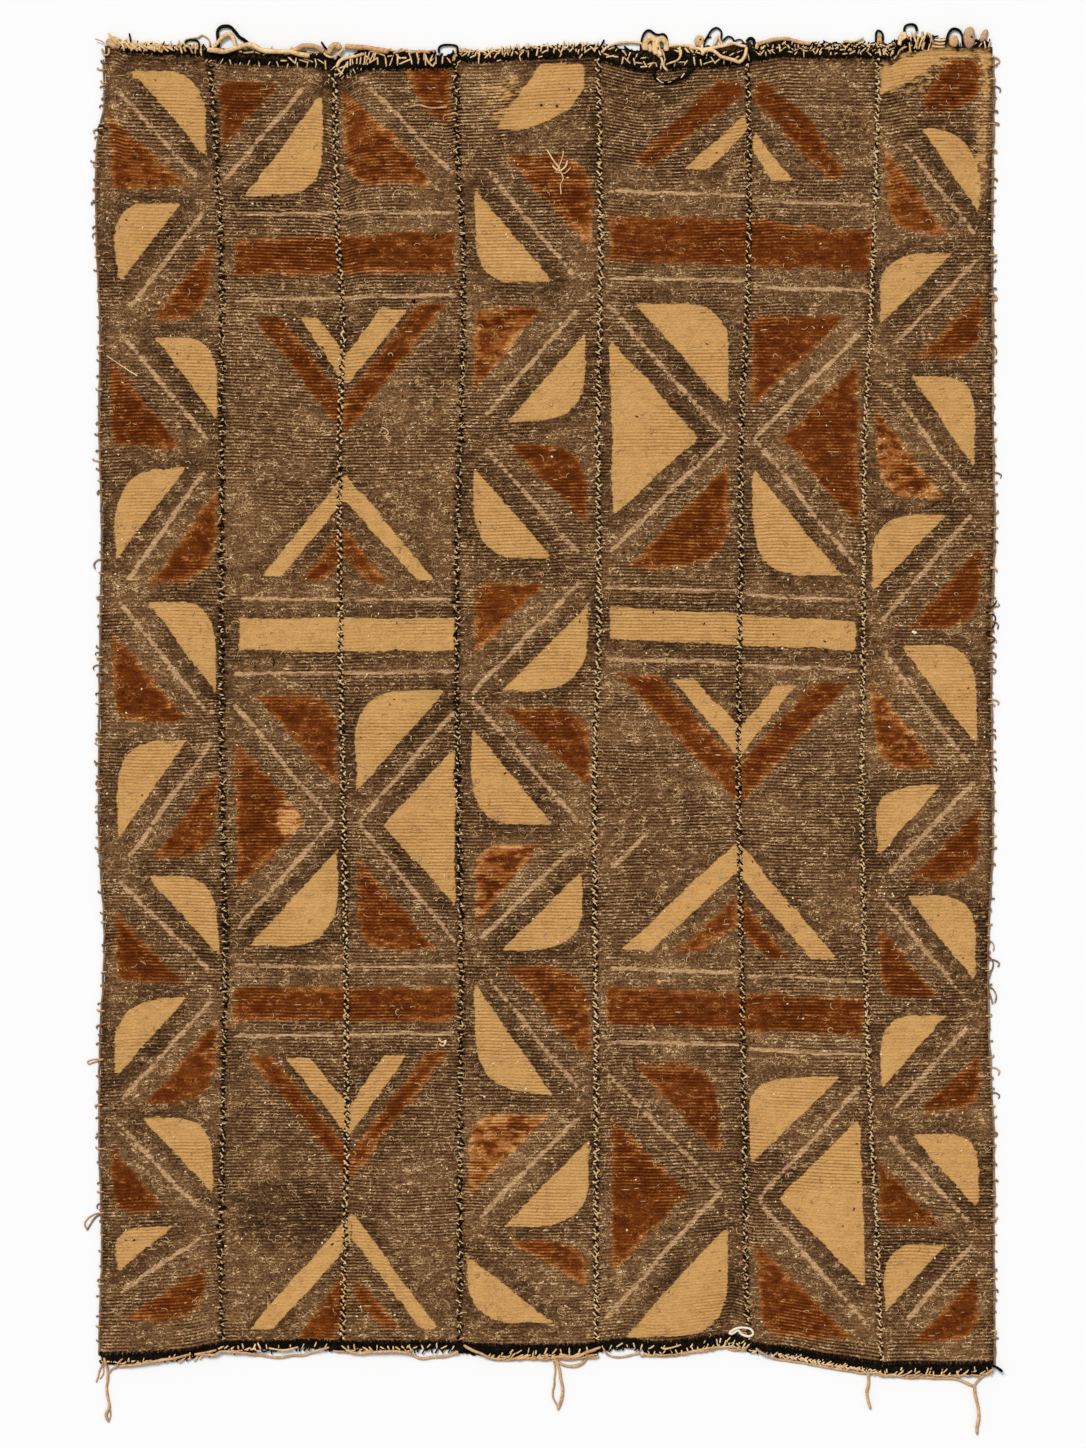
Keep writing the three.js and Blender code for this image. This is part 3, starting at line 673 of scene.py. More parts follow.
def makeClothFinish():
    finish, tree, shader = newFinish("paintedCotton", 0.93)
    worm = calc(tree, "SUBTRACT", fibreNoise(tree, (2.3, 1.8, 2.0), 1.0, 0.5, 0.9), 0.5)
    streak = calc(tree, "SUBTRACT", fibreNoise(tree, (5.0, 1.6, 4), 1.5, 0.5, 0.3, 4.1), 0.5)
    blotch = calc(tree, "SUBTRACT", fibreNoise(tree, (70, 48, 60), 3.0, 0.5, 0.0, 9.3), 0.5)
    patch = calc(tree, "SUBTRACT", fibreNoise(tree, (15, 8, 12), 2.0, 0.5, 0.3, 31.0), 0.5)
    # a hair lies along each middle line of its own noise, in some places only
    hair = fibreNoise(tree, (6.6, 4.0, 5), 1.0, 0.5, 1.2, 17.0)
    where = fibreNoise(tree, (16, 12, 14), 1.0, 0.5, 0.0, 23.0)
    hairLine = calc(tree, "ABSOLUTE", calc(tree, "SUBTRACT", hair, 0.5))
    hairLine = between(tree, hairLine, 0.055, 0.015)
    hairLine = calc(tree, "MULTIPLY", hairLine, between(tree, where, 0.46, 0.55))
    # painted shade and light: the rib crests are coloured lighter and the grooves darker, the deeper grooves
    # darker still
    rib = pieceValue(tree, "rib")
    rib = plus(tree, rib, between(tree, rib, -0.1, -0.8), -0.5)
    weft = pieceValue(tree, "weft")
    weave = calc(tree, "MULTIPLY", worm, clothLook["wormGain"])
    weave = plus(tree, weave, streak, clothLook["streakGain"])
    weave = plus(tree, weave, rib, clothLook["ribGain"])
    weave = plus(tree, weave, weft, clothLook["weftGain"])
    loose = calc(tree, "MULTIPLY", hairLine, clothLook["fibreGain"])
    broad = calc(tree, "MULTIPLY", blotch, clothLook["blotchGain"])
    shade = pieceValue(tree, "shade")

    groundTone = calc(tree, "ADD", weave, loose)
    groundTone = calc(tree, "ADD", groundTone, calc(tree, "ADD", broad, clothLook["groundTone"]))
    groundTone = plus(tree, groundTone, shade, clothLook["shadeGain"], clamp=True)
    colour = colourRamp(tree, groundTone, clothLook["ground"])

    paleEdge = plus(tree, pieceValue(tree, "palePaint"), streak, paintGains["paleStreak"])
    paleEdge = plus(tree, paleEdge, patch, paintGains["palePatch"])
    paleTone = plus(tree, clothLook["paleTone"], weave, clothLook["paleWeave"], clamp=True)
    paleColour = colourRamp(tree, paleTone, clothLook["pale"])
    colour = mixColour(tree, between(tree, paleEdge, -0.8, 0.9), colour, paleColour)

    rustEdge = plus(tree, pieceValue(tree, "rustPaint"), streak, paintGains["rustStreak"])
    rustEdge = plus(tree, rustEdge, patch, paintGains["rustPatch"])
    worn = calc(tree, "MULTIPLY", pieceValue(tree, "rustWorn"), between(tree, patch, -0.2, 0.1))
    rustEdge = plus(tree, rustEdge, worn, -paintGains["rustWorn"])
    # paint runs thin, orange and paler towards its edges
    thin = between(tree, plus(tree, rustEdge, blotch, paintGains["thinBlotch"]), 7.5, -1.5)
    rustTone = plus(tree, clothLook["rustTone"], weave, clothLook["rustWeave"])
    for value, gain in ((patch, "rustPatchTone"), (rib, "rustRibTone"), (weft, "rustWeftTone"),
                        (thin, "rustThinTone"), (worn, "rustWornTone")):
        rustTone = plus(tree, rustTone, value, paintGains[gain])
    rustTone = plus(tree, rustTone, loose, paintGains["rustFibreTone"], clamp=True)
    rustColour = colourRamp(tree, rustTone, clothLook["rust"])
    colour = mixColour(tree, between(tree, rustEdge, -2.4, 2.2), colour, rustColour)

    tanEdge = plus(tree, pieceValue(tree, "tanPaint"), streak, paintGains["tanStreak"])
    tanTone = plus(tree, clothLook["tanTone"], weave, clothLook["tanWeave"])
    tanTone = plus(tree, tanTone, rib, paintGains["tanRibTone"])
    tanTone = plus(tree, tanTone, broad, paintGains["tanBlotchTone"], clamp=True)
    tanColour = colourRamp(tree, tanTone, clothLook["tan"])
    colour = mixColour(tree, between(tree, tanEdge, -0.6, 0.6), colour, tanColour)

    dim = calc(tree, "MINIMUM", plus(tree, 1.0, shade, clothLook["shadeDim"]), 1.0)
    tree.links.new(dimmed(tree, colour, dim), shader.inputs["Base Color"])
    height = plus(tree, calc(tree, "MULTIPLY", worm, 1.2), streak, 0.6)
    addBump(tree, shader, plus(tree, height, hairLine, 0.35), clothLook["bumpHigh"])
    return finish


def makeReverseFinish():
    finish, tree, shader = newFinish("undyedReverse", 0.93)
    weave = fibreNoise(tree, (7, 1.8, 3), 3.0, 0.55, 0.4, 2.0)
    tree.links.new(
        colourRamp(tree, weave, [(0.25, (120, 96, 70)), (0.5, (168, 142, 108)), (0.75, (206, 182, 146))]),
        shader.inputs["Base Color"],
    )
    addBump(tree, shader, weave, 0.0008)
    return finish


def makeYarnFinish(name, dark, middle, pale, shadedFlankLevel=0.4, roughness=0.9):
    finish, tree, shader = newFinish(name, roughness)
    ply = fibreNoise(tree, (2.2, 2.2, 2.2), 2.0, 0.6, 0.5, 3.0)
    tone = fibreNoise(tree, (14, 14, 14), 2.0, 0.5, 0.0, 7.0)
    share = plus(tree, calc(tree, "MULTIPLY", ply, 0.75), tone, 0.45)
    stops = [(0.32, dark), (0.6, middle), (0.86, pale)]
    # painted shade: a yarn's colour darkens on its flanks, where its surface turns away from the light
    # above, so its top reads lighter
    geometry = tree.nodes.new("ShaderNodeNewGeometry")
    facing = tree.nodes.new("ShaderNodeSeparateXYZ")
    tree.links.new(geometry.outputs["Normal"], facing.inputs[0])
    flankShadeDim = plus(tree, shadedFlankLevel, between(tree, facing.outputs["Z"], 0.05, 0.6), 1 - shadedFlankLevel)
    tree.links.new(dimmed(tree, colourRamp(tree, share, stops), flankShadeDim), shader.inputs["Base Color"])
    addBump(tree, shader, ply, 0.0007)
    return finish


clothFinish = makeClothFinish()
reverseFinish = makeReverseFinish()
# the last number given to some finishes is the level of painted shade on their flanks
blackYarn = makeYarnFinish("blackYarn", (8, 6, 4), (16, 12, 8), (44, 34, 24))
creamYarn = makeYarnFinish("creamYarn", (168, 118, 66), (238, 196, 138), (255, 240, 204))
tanYarn = makeYarnFinish("tanYarn", (140, 97, 60), (210, 163, 114), (244, 208, 160))
pinkYarn = makeYarnFinish("pinkYarn", (136, 96, 68), (190, 148, 112), (220, 184, 148))
whiteYarn = makeYarnFinish("whiteYarn", (226, 202, 166), (250, 236, 212), (255, 250, 238), 0.75)
fluffYarn = makeYarnFinish("fluff", (150, 112, 72), (200, 160, 112), (240, 208, 160), 0.8)
umberYarn = makeYarnFinish("umberYarn", (22, 15, 10), (44, 31, 20), (96, 70, 46))
nubYarn = makeYarnFinish("nubs", (222, 184, 130), (250, 226, 180), (255, 244, 214), 0.9)
seamYarn = makeYarnFinish("seamCream", (176, 132, 82), (226, 188, 132), (250, 230, 188), 0.6)
hemYarn = makeYarnFinish("hemYarn", (88, 62, 42), (140, 106, 74), (196, 160, 118))
print("mud cloth: finishes ready")


# Pieces laid out on the chart

def addPiece(name, mesh, finishes):
    for finish in finishes:
        mesh.materials.append(finish)
    piece = bpy.data.objects.new(name, mesh)
    scene.collection.objects.link(piece)
    return piece


def toMetres(points):
    moved = np.array(points, float)
    moved[:, 0] -= chartMiddle["x"]
    moved[:, 1] -= chartMiddle["y"]
    return moved * mm


# The seven strips: a thin sheet whose rows of points are its weft yarns
clothLong = clothSizes["topLevel"] - clothSizes["lowLevel"]


def stripPlaces(strip, shares, heights):
    # chart places for shares across the strip and shares of its length
    gap = clothSizes["gap"] / 2
    evenLevel = clothSizes["lowLevel"] + clothLong * heights
    level = evenLevel
    for _ in range(2):
        left = edgeAt(strip, level) + gap
        right = edgeAt(strip + 1, level) - gap
        x = left + (right - left) * shares
        top = cutAt(topCut, x) - clothSizes["topLevel"]
        bottom = cutAt(bottomCut, x) - clothSizes["lowLevel"]
        level = evenLevel + bottom * (1 - heights) ** 8 + top * heights ** 8
    return x, level


def fromSeamAt(x, y, strip):
    return np.minimum(x - edgeAt(strip, y), edgeAt(strip + 1, y) - x)


def puckerAt(x, y, strip):
    fromSeam = fromSeamAt(x, y, strip)
    wave = 0.5 + 0.5 * np.cos(2 * math.pi * (y - 20) / clothSizes["puckerLong"] + strip * math.pi)
    gathers = 0.5 + 0.5 * np.cos(2 * math.pi * y / clothSizes["gatherLong"] + 2 * grain(x, y, 60, 40, 61))
    pucker = clothSizes["puckerHigh"] * wave * softStep(15, 2, fromSeam) * 0.9
    return pucker + clothSizes["gatherHigh"] * gathers * softStep(9, 1, fromSeam)


def gridQuads(corner):
    # four-sided faces over a grid of point numbers
    quads = np.stack([corner[:-1, :-1], corner[:-1, 1:], corner[1:, 1:], corner[1:, :-1]], axis=-1)
    return quads.reshape(-1, 4).tolist()


def closeUnderneath(strip, x, y):
    # points of a plain underside, and the faces of the whole strip, closed all round
    rows, columns = x.shape
    underRows = list(range(0, rows - 1, clothSizes["underStep"])) + [rows - 1]
    if underRows[-1] - underRows[-2] < clothSizes["underStep"] / 2:
        underRows.pop(-2)
    lastRow = len(underRows) - 1
    lastColumn = clothSizes["underColumns"] - 1
    underColumns = [round(i * (columns - 1) / lastColumn) for i in range(lastColumn + 1)]
    under = []
    for row in underRows:
        for column in underColumns:
            lift = liftAt(x[row, column], y[row, column])
            pucker = puckerAt(x[row:row + 1, column], y[row:row + 1, column], strip)[0]
            under.append((x[row, column], y[row, column], lift + 0.8 * pucker))

    def underAt(row, column):
        return rows * columns + row * clothSizes["underColumns"] + column

    corner = np.arange(rows * columns).reshape(rows, columns)
    faces = gridQuads(corner)
    firstPlain = len(faces)
    for row in range(lastRow):
        for column in range(lastColumn):
            faces.append([underAt(row, column), underAt(row + 1, column), underAt(row + 1, column + 1),
                          underAt(row, column + 1)])
    plainFaces = slice(firstPlain, len(faces))
    for row in range(lastRow):
        wall = corner[underRows[row]:underRows[row + 1] + 1]
        faces.append([underAt(row, 0)] + wall[:, 0].tolist() + [underAt(row + 1, 0)])
        faces.append([underAt(row + 1, lastColumn)] + wall[::-1, -1].tolist() + [underAt(row, lastColumn)])
    for column in range(lastColumn):
        wall = corner[:, underColumns[column]:underColumns[column + 1] + 1]
        faces.append([underAt(0, column + 1)] + wall[0, ::-1].tolist() + [underAt(0, column)])
        faces.append([underAt(lastRow, column)] + wall[-1].tolist() + [underAt(lastRow, column + 1)])
    return np.array(under), faces, plainFaces


def makeStrip(strip):
    ribs = round(clothLong / clothSizes["ribPitch"])
    rows = 2 * ribs + 1
    uneven = np.random.default_rng(70 + strip)
    # columns a little closer beside the selvedges and along the middle
    evenly = np.linspace(0, 1, clothSizes["columns"])
    shares = evenly - 0.012 * np.sin(4 * math.pi * evenly)
    shares[0] = 0
    shares[-1] = 1
    # two rows to a rib: its crest and the groove after it
    ribOf = np.arange(rows) // 2
    partOf = np.arange(rows) % 2
    inRib = np.array([0.36, 0.88])[partOf] + uneven.uniform(-0.08, 0.08, rows)
    heights = (ribOf + inRib) / ribs
    heights[0] = 0
    heights[-1] = 1
    share, height = np.meshgrid(shares, heights)
    x, y = stripPlaces(strip, share, height)
    # the weft wanders a little between the selvedges
    calm = np.minimum(1, np.minimum(height, 1 - height) * 40)
    y = y + calm * (2.6 * grain(x, y, 95, 130, 71 + strip) + 0.7 * grain(x, y, 22, 40, 81 + strip))
    ribNumber = np.repeat(ribOf[:, None], len(shares), axis=1).astype(float)
    standing = grain(x, y, 46, 30, 91 + strip) + 0.6 * grain(x, y, 120, 90, 92)
    strength = 0.3 + 0.7 * softStep(-0.5, 0.7, standing)
    for mark in ribMarks:
        strength = strength + mark["strength"] * softStep(1.5, 0.3, markSpot(mark, x, y))
    weft = 0.45 * yarnTone(x, ribNumber, 12, 101 + strip) + 0.55 * yarnTone(x, ribNumber, 5, 111 + strip)
    crest = np.repeat((partOf == 0)[:, None], len(shares), axis=1)
    slub = softStep(0.72, 0.98, np.abs(yarnTone(x, ribNumber, 16, 121 + strip)))
    ridge = np.where(crest, 0.5, -0.5) * clothSizes["ribHigh"] * (0.35 + 0.65 * strength)
    ridge = ridge + np.where(crest, 0.14 * weft + 0.12 * slub, 0)
    fromSeam = fromSeamAt(x, y, strip)
    inwards = np.sqrt(np.clip(fromSeam / clothSizes["edgeLong"], 0, 1))
    fullness = clothSizes["edgeThin"] + (1 - clothSizes["edgeThin"]) * inwards
    z = liftAt(x, y) + puckerAt(x, y, strip) + clothSizes["thick"] * fullness
    z = z + ridge * np.clip(fromSeam / 2.5, 0.2, 1)
    z = z + 0.16 * grain(x, y, 30, 24, 131)
    top = np.column_stack([x.ravel(), y.ravel(), z.ravel()])

    values = paintAt(x.ravel(), y.ravel(), ribNumber.ravel(), strip)
    # crests carry painted light and grooves painted shade, as strongly as the ribs stand out
    values["rib"] = (np.where(crest, 0.6, -1.0) * strength).ravel()
    values["weft"] = (np.where(crest, weft + 0.9 * slub * np.sign(weft + 0.15), 0.3 * weft)).ravel()
    # shade under the whipping, and soft shade beside the seams
    flatX = x.ravel()
    flatY = y.ravel()
    fromTop = cutAt(topCut, flatX) - flatY
    fromBottom = flatY - cutAt(bottomCut, flatX)
    values["shade"] = values["shade"] - 0.9 * softStep(16, 2, fromTop) - 0.5 * softStep(8, 1, fromBottom)
    values["shade"] = values["shade"] - 0.5 * softStep(7, 1, fromSeam.ravel())
    values["shade"] = values["shade"] + 0.22 * grain(flatX, flatY, 26, 60, 141)

    under, faces, plainFaces = closeUnderneath(strip, x, y)
    mesh = bpy.data.meshes.new(f"cloth_{strip + 1}")
    mesh.from_pydata(toMetres(np.vstack([top, under])).tolist(), [], faces)
    mesh.polygons.foreach_set("use_smooth", [True] * len(faces))
    finishOf = np.zeros(len(faces), int)
    finishOf[plainFaces] = 1
    for name, column in values.items():
        layer = mesh.attributes.new(name, "FLOAT", "POINT")
        fill = paint["noPaint"] if name.endswith("Paint") else 0.0
        column = np.concatenate([column, np.full(len(under), fill)])
        layer.data.foreach_set("value", column.astype(np.float32))
    piece = addPiece(f"cloth_{strip + 1}", mesh, [clothFinish, reverseFinish])
    mesh.polygons.foreach_set("material_index", finishOf)
    mesh.update()
    return piece


for strip in range(7):
    piece = makeStrip(strip)
    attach(piece, "root")
    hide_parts(f"strip_{strip + 1}")
print("mud cloth: seven strips woven and painted")


# Yarn laid along a given route

def surfaceAt(x, y):
    # top of whatever lies at a place: cloth, whipping or floor
    onCloth = liftAt(x, y) + clothSizes["thick"]
    beyond = np.maximum(y - cutAt(topCut, x), cutAt(bottomCut, x) - y)
    overYarn = 3.4 * softStep(14, 9, beyond)
    outside = np.maximum(edgeAt(0, y) - x, x - edgeAt(7, y))
    onCloth = onCloth * softStep(6, 0.5, outside)
    return np.where(beyond < 0, onCloth, overYarn)


def smoothRoute(route, step):
    points = np.array(route, float)
    ends = np.vstack([2 * points[0] - points[1], points, 2 * points[-1] - points[-2]])
    smooth = []
    for i in range(1, len(ends) - 2):
        before, start, end, after = ends[i - 1:i + 3]
        pieces = max(2, int(np.linalg.norm((end - start)[:2]) / step))
        for k in range(pieces):
            t = k / pieces
            smooth.append(0.5 * (
                2 * start + (end - before) * t + (2 * before - 5 * start + 4 * end - after) * t * t
                + (3 * start - before - 3 * end + after) * t ** 3
            ))
    smooth.append(points[-1])
    return np.array(smooth)


yarnLook = {
    "slub": 0.14,          # how much thicker and thinner a yarn gets, as a share
    "wander": 0.28,        # how far it strays from its route
    "taper": 0.75,         # share of its thickness at its ends
}


def softRun(uneven, count, step):
    # random values between -1 and 1 along a run of points, a new one every few points
    places = np.arange(0, count + step, step)
    return np.interp(np.arange(count), places, uneven.uniform(-1, 1, len(places)))


def yarnTube(route, wide, high=None, sides=7, step=2.0, rise=0.0, seed=0):
    # points and faces of a closed yarn lying on what is below it
    flat = smoothRoute(route, step)
    uneven = np.random.default_rng(seed)
    count = len(flat)
    thickness = 1 + yarnLook["slub"] * softRun(uneven, count, 3)
    wander = yarnLook["wander"] * softRun(uneven, count, 4)
    way = np.gradient(flat[:, :2], axis=0)
    way = way / np.maximum(np.linalg.norm(way, axis=1, keepdims=True), 1e-6)
    side = np.column_stack([-way[:, 1], way[:, 0]])
    middle = flat[:, :2] + side * wander[:, None]
    halfWide = 0.5 * wide * thickness
    halfHigh = 0.5 * (high or wide) * thickness
    halfWide[[0, -1]] *= yarnLook["taper"]
    below = surfaceAt(middle[:, 0], middle[:, 1])
    smoothing = np.array([0.25, 0.5, 0.25])
    below = np.convolve(np.pad(below, 1, mode="edge"), smoothing, mode="valid")
    level = below + halfHigh * 0.92 + rise
    rings = []
    for i in range(count):
        ring = []
        for k in range(sides):
            angle = 2 * math.pi * k / sides
            across = math.cos(angle) * halfWide[i]
            ring.append((middle[i, 0] + side[i, 0] * across, middle[i, 1] + side[i, 1] * across,
                         level[i] + math.sin(angle) * halfHigh[i]))
        rings.append(ring)
    return closedTube(rings)


def closedTube(rings):
    # rings run anticlockwise seen from the far end, so the faces point outwards
    sides = len(rings[0])
    points = [point for ring in rings for point in ring]
    faces = []
    for i in range(len(rings) - 1):
        for k in range(sides):
            a = i * sides + k
            b = i * sides + (k + 1) % sides
            faces.append([a, b, b + sides, a + sides])
    last = (len(rings) - 1) * sides
    faces.append(list(range(sides - 1, -1, -1)))
    faces.append([last + k for k in range(sides)])
    return points, faces


def makeTuft(tuft, seed):
    # a rounded lump of wound or matted yarn resting on what is below it
    x = tuft["x"]
    y = tuft["y"]
    wide = tuft["wide"]
    turn = math.radians(tuft["turn"])
    rings = []
    stations = 9
    sides = 12
    bumps = np.random.default_rng(seed).uniform(-1, 1, (stations, sides))
    cosTurn = math.cos(turn)
    sinTurn = math.sin(turn)
    base = float(surfaceAt(np.array([x]), np.array([y]))[0])
    for i in range(stations):
        along = -math.cos(math.pi * (i + 0.35) / (stations - 0.3))
        girth = math.sqrt(max(0.02, 1 - along * along))
        ring = []
        for k in range(sides):
            angle = 2 * math.pi * k / sides
            stray = 1 + 0.15 * bumps[i, k]
            u = along * tuft["long"] / 2
            v = math.cos(angle) * girth * wide / 2 * stray
            level = base + (math.sin(angle) * girth * stray + 1) * wide * tuft["tall"] / 2
            ring.append((x + u * cosTurn - v * sinTurn, y + u * sinTurn + v * cosTurn, level))
        rings.append(ring)
    return closedTube(rings)


yarnFinishes = {
    "black": blackYarn, "cream": creamYarn, "tan": tanYarn, "pink": pinkYarn, "white": whiteYarn,
    "hem": hemYarn, "umber": umberYarn,
}


class YarnHeap:
    # yarn of several colours gathered into one piece
    def __init__(self):
        self.points = []
        self.faces = []
        self.finishOf = []

    def add(self, yarn, points, faces):
        start = len(self.points)
        self.points.extend(points)
        self.faces.extend([[corner + start for corner in face] for face in faces])
        self.finishOf.extend([list(yarnFinishes).index(yarn)] * len(faces))

    def addRows(self, rows, sides, step, seed, sunk=0.0, lowest=-1.0):
        # yarns from a table of routes, with nothing below the lowest level
        for number, row in enumerate(rows):
            rise = row.get("rise", 0.0) - sunk
            points, faces = yarnTube(row["route"], row["wide"], sides=sides, step=step, rise=rise,
                                     seed=seed + number)
            self.add(row["yarn"], [(x, y, max(lowest, z)) for x, y, z in points], faces)

    def makePiece(self, name):
        mesh = bpy.data.meshes.new(name)
        mesh.from_pydata(toMetres(self.points).tolist(), [], self.faces)
        mesh.polygons.foreach_set("use_smooth", [True] * len(self.faces))
        piece = addPiece(name, mesh, yarnFinishes.values())
        mesh.polygons.foreach_set("material_index", self.finishOf)
        return piece


# Stitches and wraps repeated along a path

def newTree(name, sizes, wholes, finishName):
    # a tree with a named input for each size
    tree = bpy.data.node_groups.new(name, "GeometryNodeTree")
    face = tree.interface
    face.new_socket("Geometry", in_out="INPUT", socket_type="NodeSocketGeometry")
    for label, value in sizes.items():
        face.new_socket(label, in_out="INPUT", socket_type="NodeSocketFloat").default_value = value
    for label in wholes:
        face.new_socket(label, in_out="INPUT", socket_type="NodeSocketInt")
    face.new_socket(finishName, in_out="INPUT", socket_type="NodeSocketMaterial")
    face.new_socket("Geometry", in_out="OUTPUT", socket_type="NodeSocketGeometry")
    return tree, tree.nodes.new("NodeGroupInput")


def endTree(tree, given, placed, finishName):
    # real, smooth, and in its finish
    real = tree.nodes.new("GeometryNodeRealizeInstances")
    tree.links.new(placed.outputs["Instances"], real.inputs["Geometry"])
    smooth = tree.nodes.new("GeometryNodeSetShadeSmooth")
    tree.links.new(real.outputs["Geometry"], smooth.inputs["Geometry"])
    finished = tree.nodes.new("GeometryNodeSetMaterial")
    tree.links.new(smooth.outputs["Geometry"], finished.inputs["Geometry"])
    tree.links.new(given.outputs[finishName], finished.inputs["Material"])
    result = tree.nodes.new("NodeGroupOutput")
    tree.links.new(finished.outputs["Geometry"], result.inputs["Geometry"])
    return tree


def vectorOf(tree, x=0.0, y=0.0, z=0.0):
    node = tree.nodes.new("ShaderNodeCombineXYZ")
    for socket, value in zip(node.inputs, (x, y, z)):
        setSocket(tree, socket, value)
    return node.outputs[0]


def vectorCalc(tree, operation, *values):
    node = tree.nodes.new("ShaderNodeVectorMath")
    node.operation = operation
    for socket, value in zip(node.inputs, values):
        setSocket(tree, socket, value)
    return node.outputs[0]


def randomBetween(tree, given, low, high, step):
    # a random number or vector for each place; each draw of a tree has its own step
    vector = isinstance(low, tuple)
    node = tree.nodes.new("FunctionNodeRandomValue")
    node.data_type = "FLOAT_VECTOR" if vector else "FLOAT"
    kind = "VECTOR" if vector else "VALUE"
    ends = [socket for socket in node.inputs if socket.type == kind]
    setSocket(tree, ends[0], low)
    setSocket(tree, ends[1], high)
    tree.links.new(calc(tree, "ADD", given.outputs["Seed"], float(step)), node.inputs["Seed"])
    return [socket for socket in node.outputs if socket.type == kind][0]


def sweptYarn(tree, line, thick, sides):
    # a closed yarn of so many sides along a curve
    ring = tree.nodes.new("GeometryNodeCurvePrimitiveCircle")
    ring.inputs["Resolution"].default_value = sides
    tree.links.new(calc(tree, "MULTIPLY", thick, 0.5), ring.inputs["Radius"])
    yarn = tree.nodes.new("GeometryNodeCurveToMesh")
    yarn.inputs["Fill Caps"].default_value = True
    tree.links.new(line, yarn.inputs["Curve"])
    tree.links.new(ring.outputs["Curve"], yarn.inputs["Profile Curve"])
    return yarn.outputs["Mesh"]


def placedOn(tree, places, piece, rotation, size):
    placed = tree.nodes.new("GeometryNodeInstanceOnPoints")
    for name, value in (("Points", places), ("Instance", piece), ("Rotation", rotation), ("Scale", size)):
        tree.links.new(value, placed.inputs[name])
    return placed


def makeStitchTree():
    tree, given = newTree("stitchesAlongAPath", {
        "Pitch": 0.006, "Length": 0.01, "Thick": 0.0016, "High": 0.002, "Slant": 0.9, "Slant Jitter": 0.2,
        "Place Jitter": 0.001, "Side Step": 0.0, "Length Jitter": 0.2,
    }, ["Seed"], "Yarn")
    nodes = tree.nodes
    links = tree.links
    path = nodes.new("GeometryNodeMeshToCurve")
    links.new(given.outputs["Geometry"], path.inputs["Mesh"])
    spaced = nodes.new("GeometryNodeResampleCurve")
    spaced.mode = "LENGTH"
    links.new(path.outputs["Curve"], spaced.inputs["Curve"])
    links.new(given.outputs["Pitch"], spaced.inputs["Length"])

    # every other stitch steps to the other side, and all stray a little
    index = nodes.new("GeometryNodeInputIndex")
    parity = calc(tree, "MODULO", index.outputs[0], 2.0)
    odd = calc(tree, "SUBTRACT", calc(tree, "MULTIPLY", parity, 2.0), 1.0)
    sideways = calc(tree, "MULTIPLY", odd, given.outputs["Side Step"])
    stray = given.outputs["Place Jitter"]
    backwards = calc(tree, "MULTIPLY", stray, -1.0)
    strayed = nodes.new("GeometryNodeSetPosition")
    links.new(spaced.outputs["Curve"], strayed.inputs["Geometry"])
    links.new(vectorOf(
        tree, calc(tree, "ADD", sideways, randomBetween(tree, given, backwards, stray, 1)),
        randomBetween(tree, given, backwards, stray, 2),
    ), strayed.inputs["Offset"])

    # one stitch: an arc of yarn whose ends go into the cloth
    half = calc(tree, "MULTIPLY", given.outputs["Length"], 0.5)
    sunk = calc(tree, "MULTIPLY", given.outputs["Thick"], -0.25)
    arc = nodes.new("GeometryNodeCurveQuadraticBezier")
    arc.inputs["Resolution"].default_value = 4
    links.new(vectorOf(tree, x=calc(tree, "MULTIPLY", half, -1.0), z=sunk), arc.inputs["Start"])
    links.new(vectorOf(tree, z=calc(tree, "MULTIPLY", given.outputs["High"], 2.0)), arc.inputs["Middle"])
    links.new(vectorOf(tree, x=half, z=sunk), arc.inputs["End"])
    yarn = sweptYarn(tree, arc.outputs[0], given.outputs["Thick"], 5)

    # leaning across the path, each by its own amount
    tangent = nodes.new("GeometryNodeInputTangent")
    facing = nodes.new("FunctionNodeAlignRotationToVector")
    facing.axis = "X"
    links.new(tangent.outputs[0], facing.inputs["Vector"])
    lean = given.outputs["Slant Jitter"]
    leaned = randomBetween(tree, given, calc(tree, "MULTIPLY", lean, -1.0), lean, 3)
    slanted = nodes.new("FunctionNodeEulerToRotation")
    links.new(vectorOf(tree, z=calc(tree, "ADD", given.outputs["Slant"], leaned)), slanted.inputs[0])
    rotated = nodes.new("FunctionNodeRotateRotation")
    rotated.rotation_space = "LOCAL"
    links.new(facing.outputs[0], rotated.inputs[0])
    links.new(slanted.outputs[0], rotated.inputs[1])
    spread = given.outputs["Length Jitter"]
    shorter = calc(tree, "SUBTRACT", 1.0, spread)
    longer = calc(tree, "ADD", 1.0, spread)
    size = vectorOf(
        tree, randomBetween(tree, given, shorter, longer, 4), randomBetween(tree, given, 0.8, 1.2, 5),
        randomBetween(tree, given, 0.75, 1.2, 6),
    )
    placed = placedOn(tree, strayed.outputs["Geometry"], yarn, rotated.outputs[0], size)
    return endTree(tree, given, placed, "Yarn")


def runTree(tree, name, mesh, inputs):
    # a host object wears the tree once, and its result comes back as a plain mesh object
    host = bpy.data.objects.new(name + "Host", mesh)
    scene.collection.objects.link(host)
    modifier = host.modifiers.new("build", "NODES")
    modifier.node_group = tree
    for item in tree.interface.items_tree:
        if item.item_type == "SOCKET" and item.in_out == "INPUT" and item.name in inputs:
            modifier[item.identifier] = inputs[item.name]
    bpy.context.view_layer.update()
    view = bpy.context.evaluated_depsgraph_get()
    result = bpy.data.meshes.new_from_object(host.evaluated_get(view))
    host.modifiers.clear()
    bpy.data.objects.remove(host)
    piece = bpy.data.objects.new(name, result)
    scene.collection.objects.link(piece)
    return piece


def pathMesh(name, route):
    # a line of edges for stitches to follow
    mesh = bpy.data.meshes.new(name)
    mesh.from_pydata(toMetres(route).tolist(), [(i, i + 1) for i in range(len(route) - 1)], [])
    return mesh


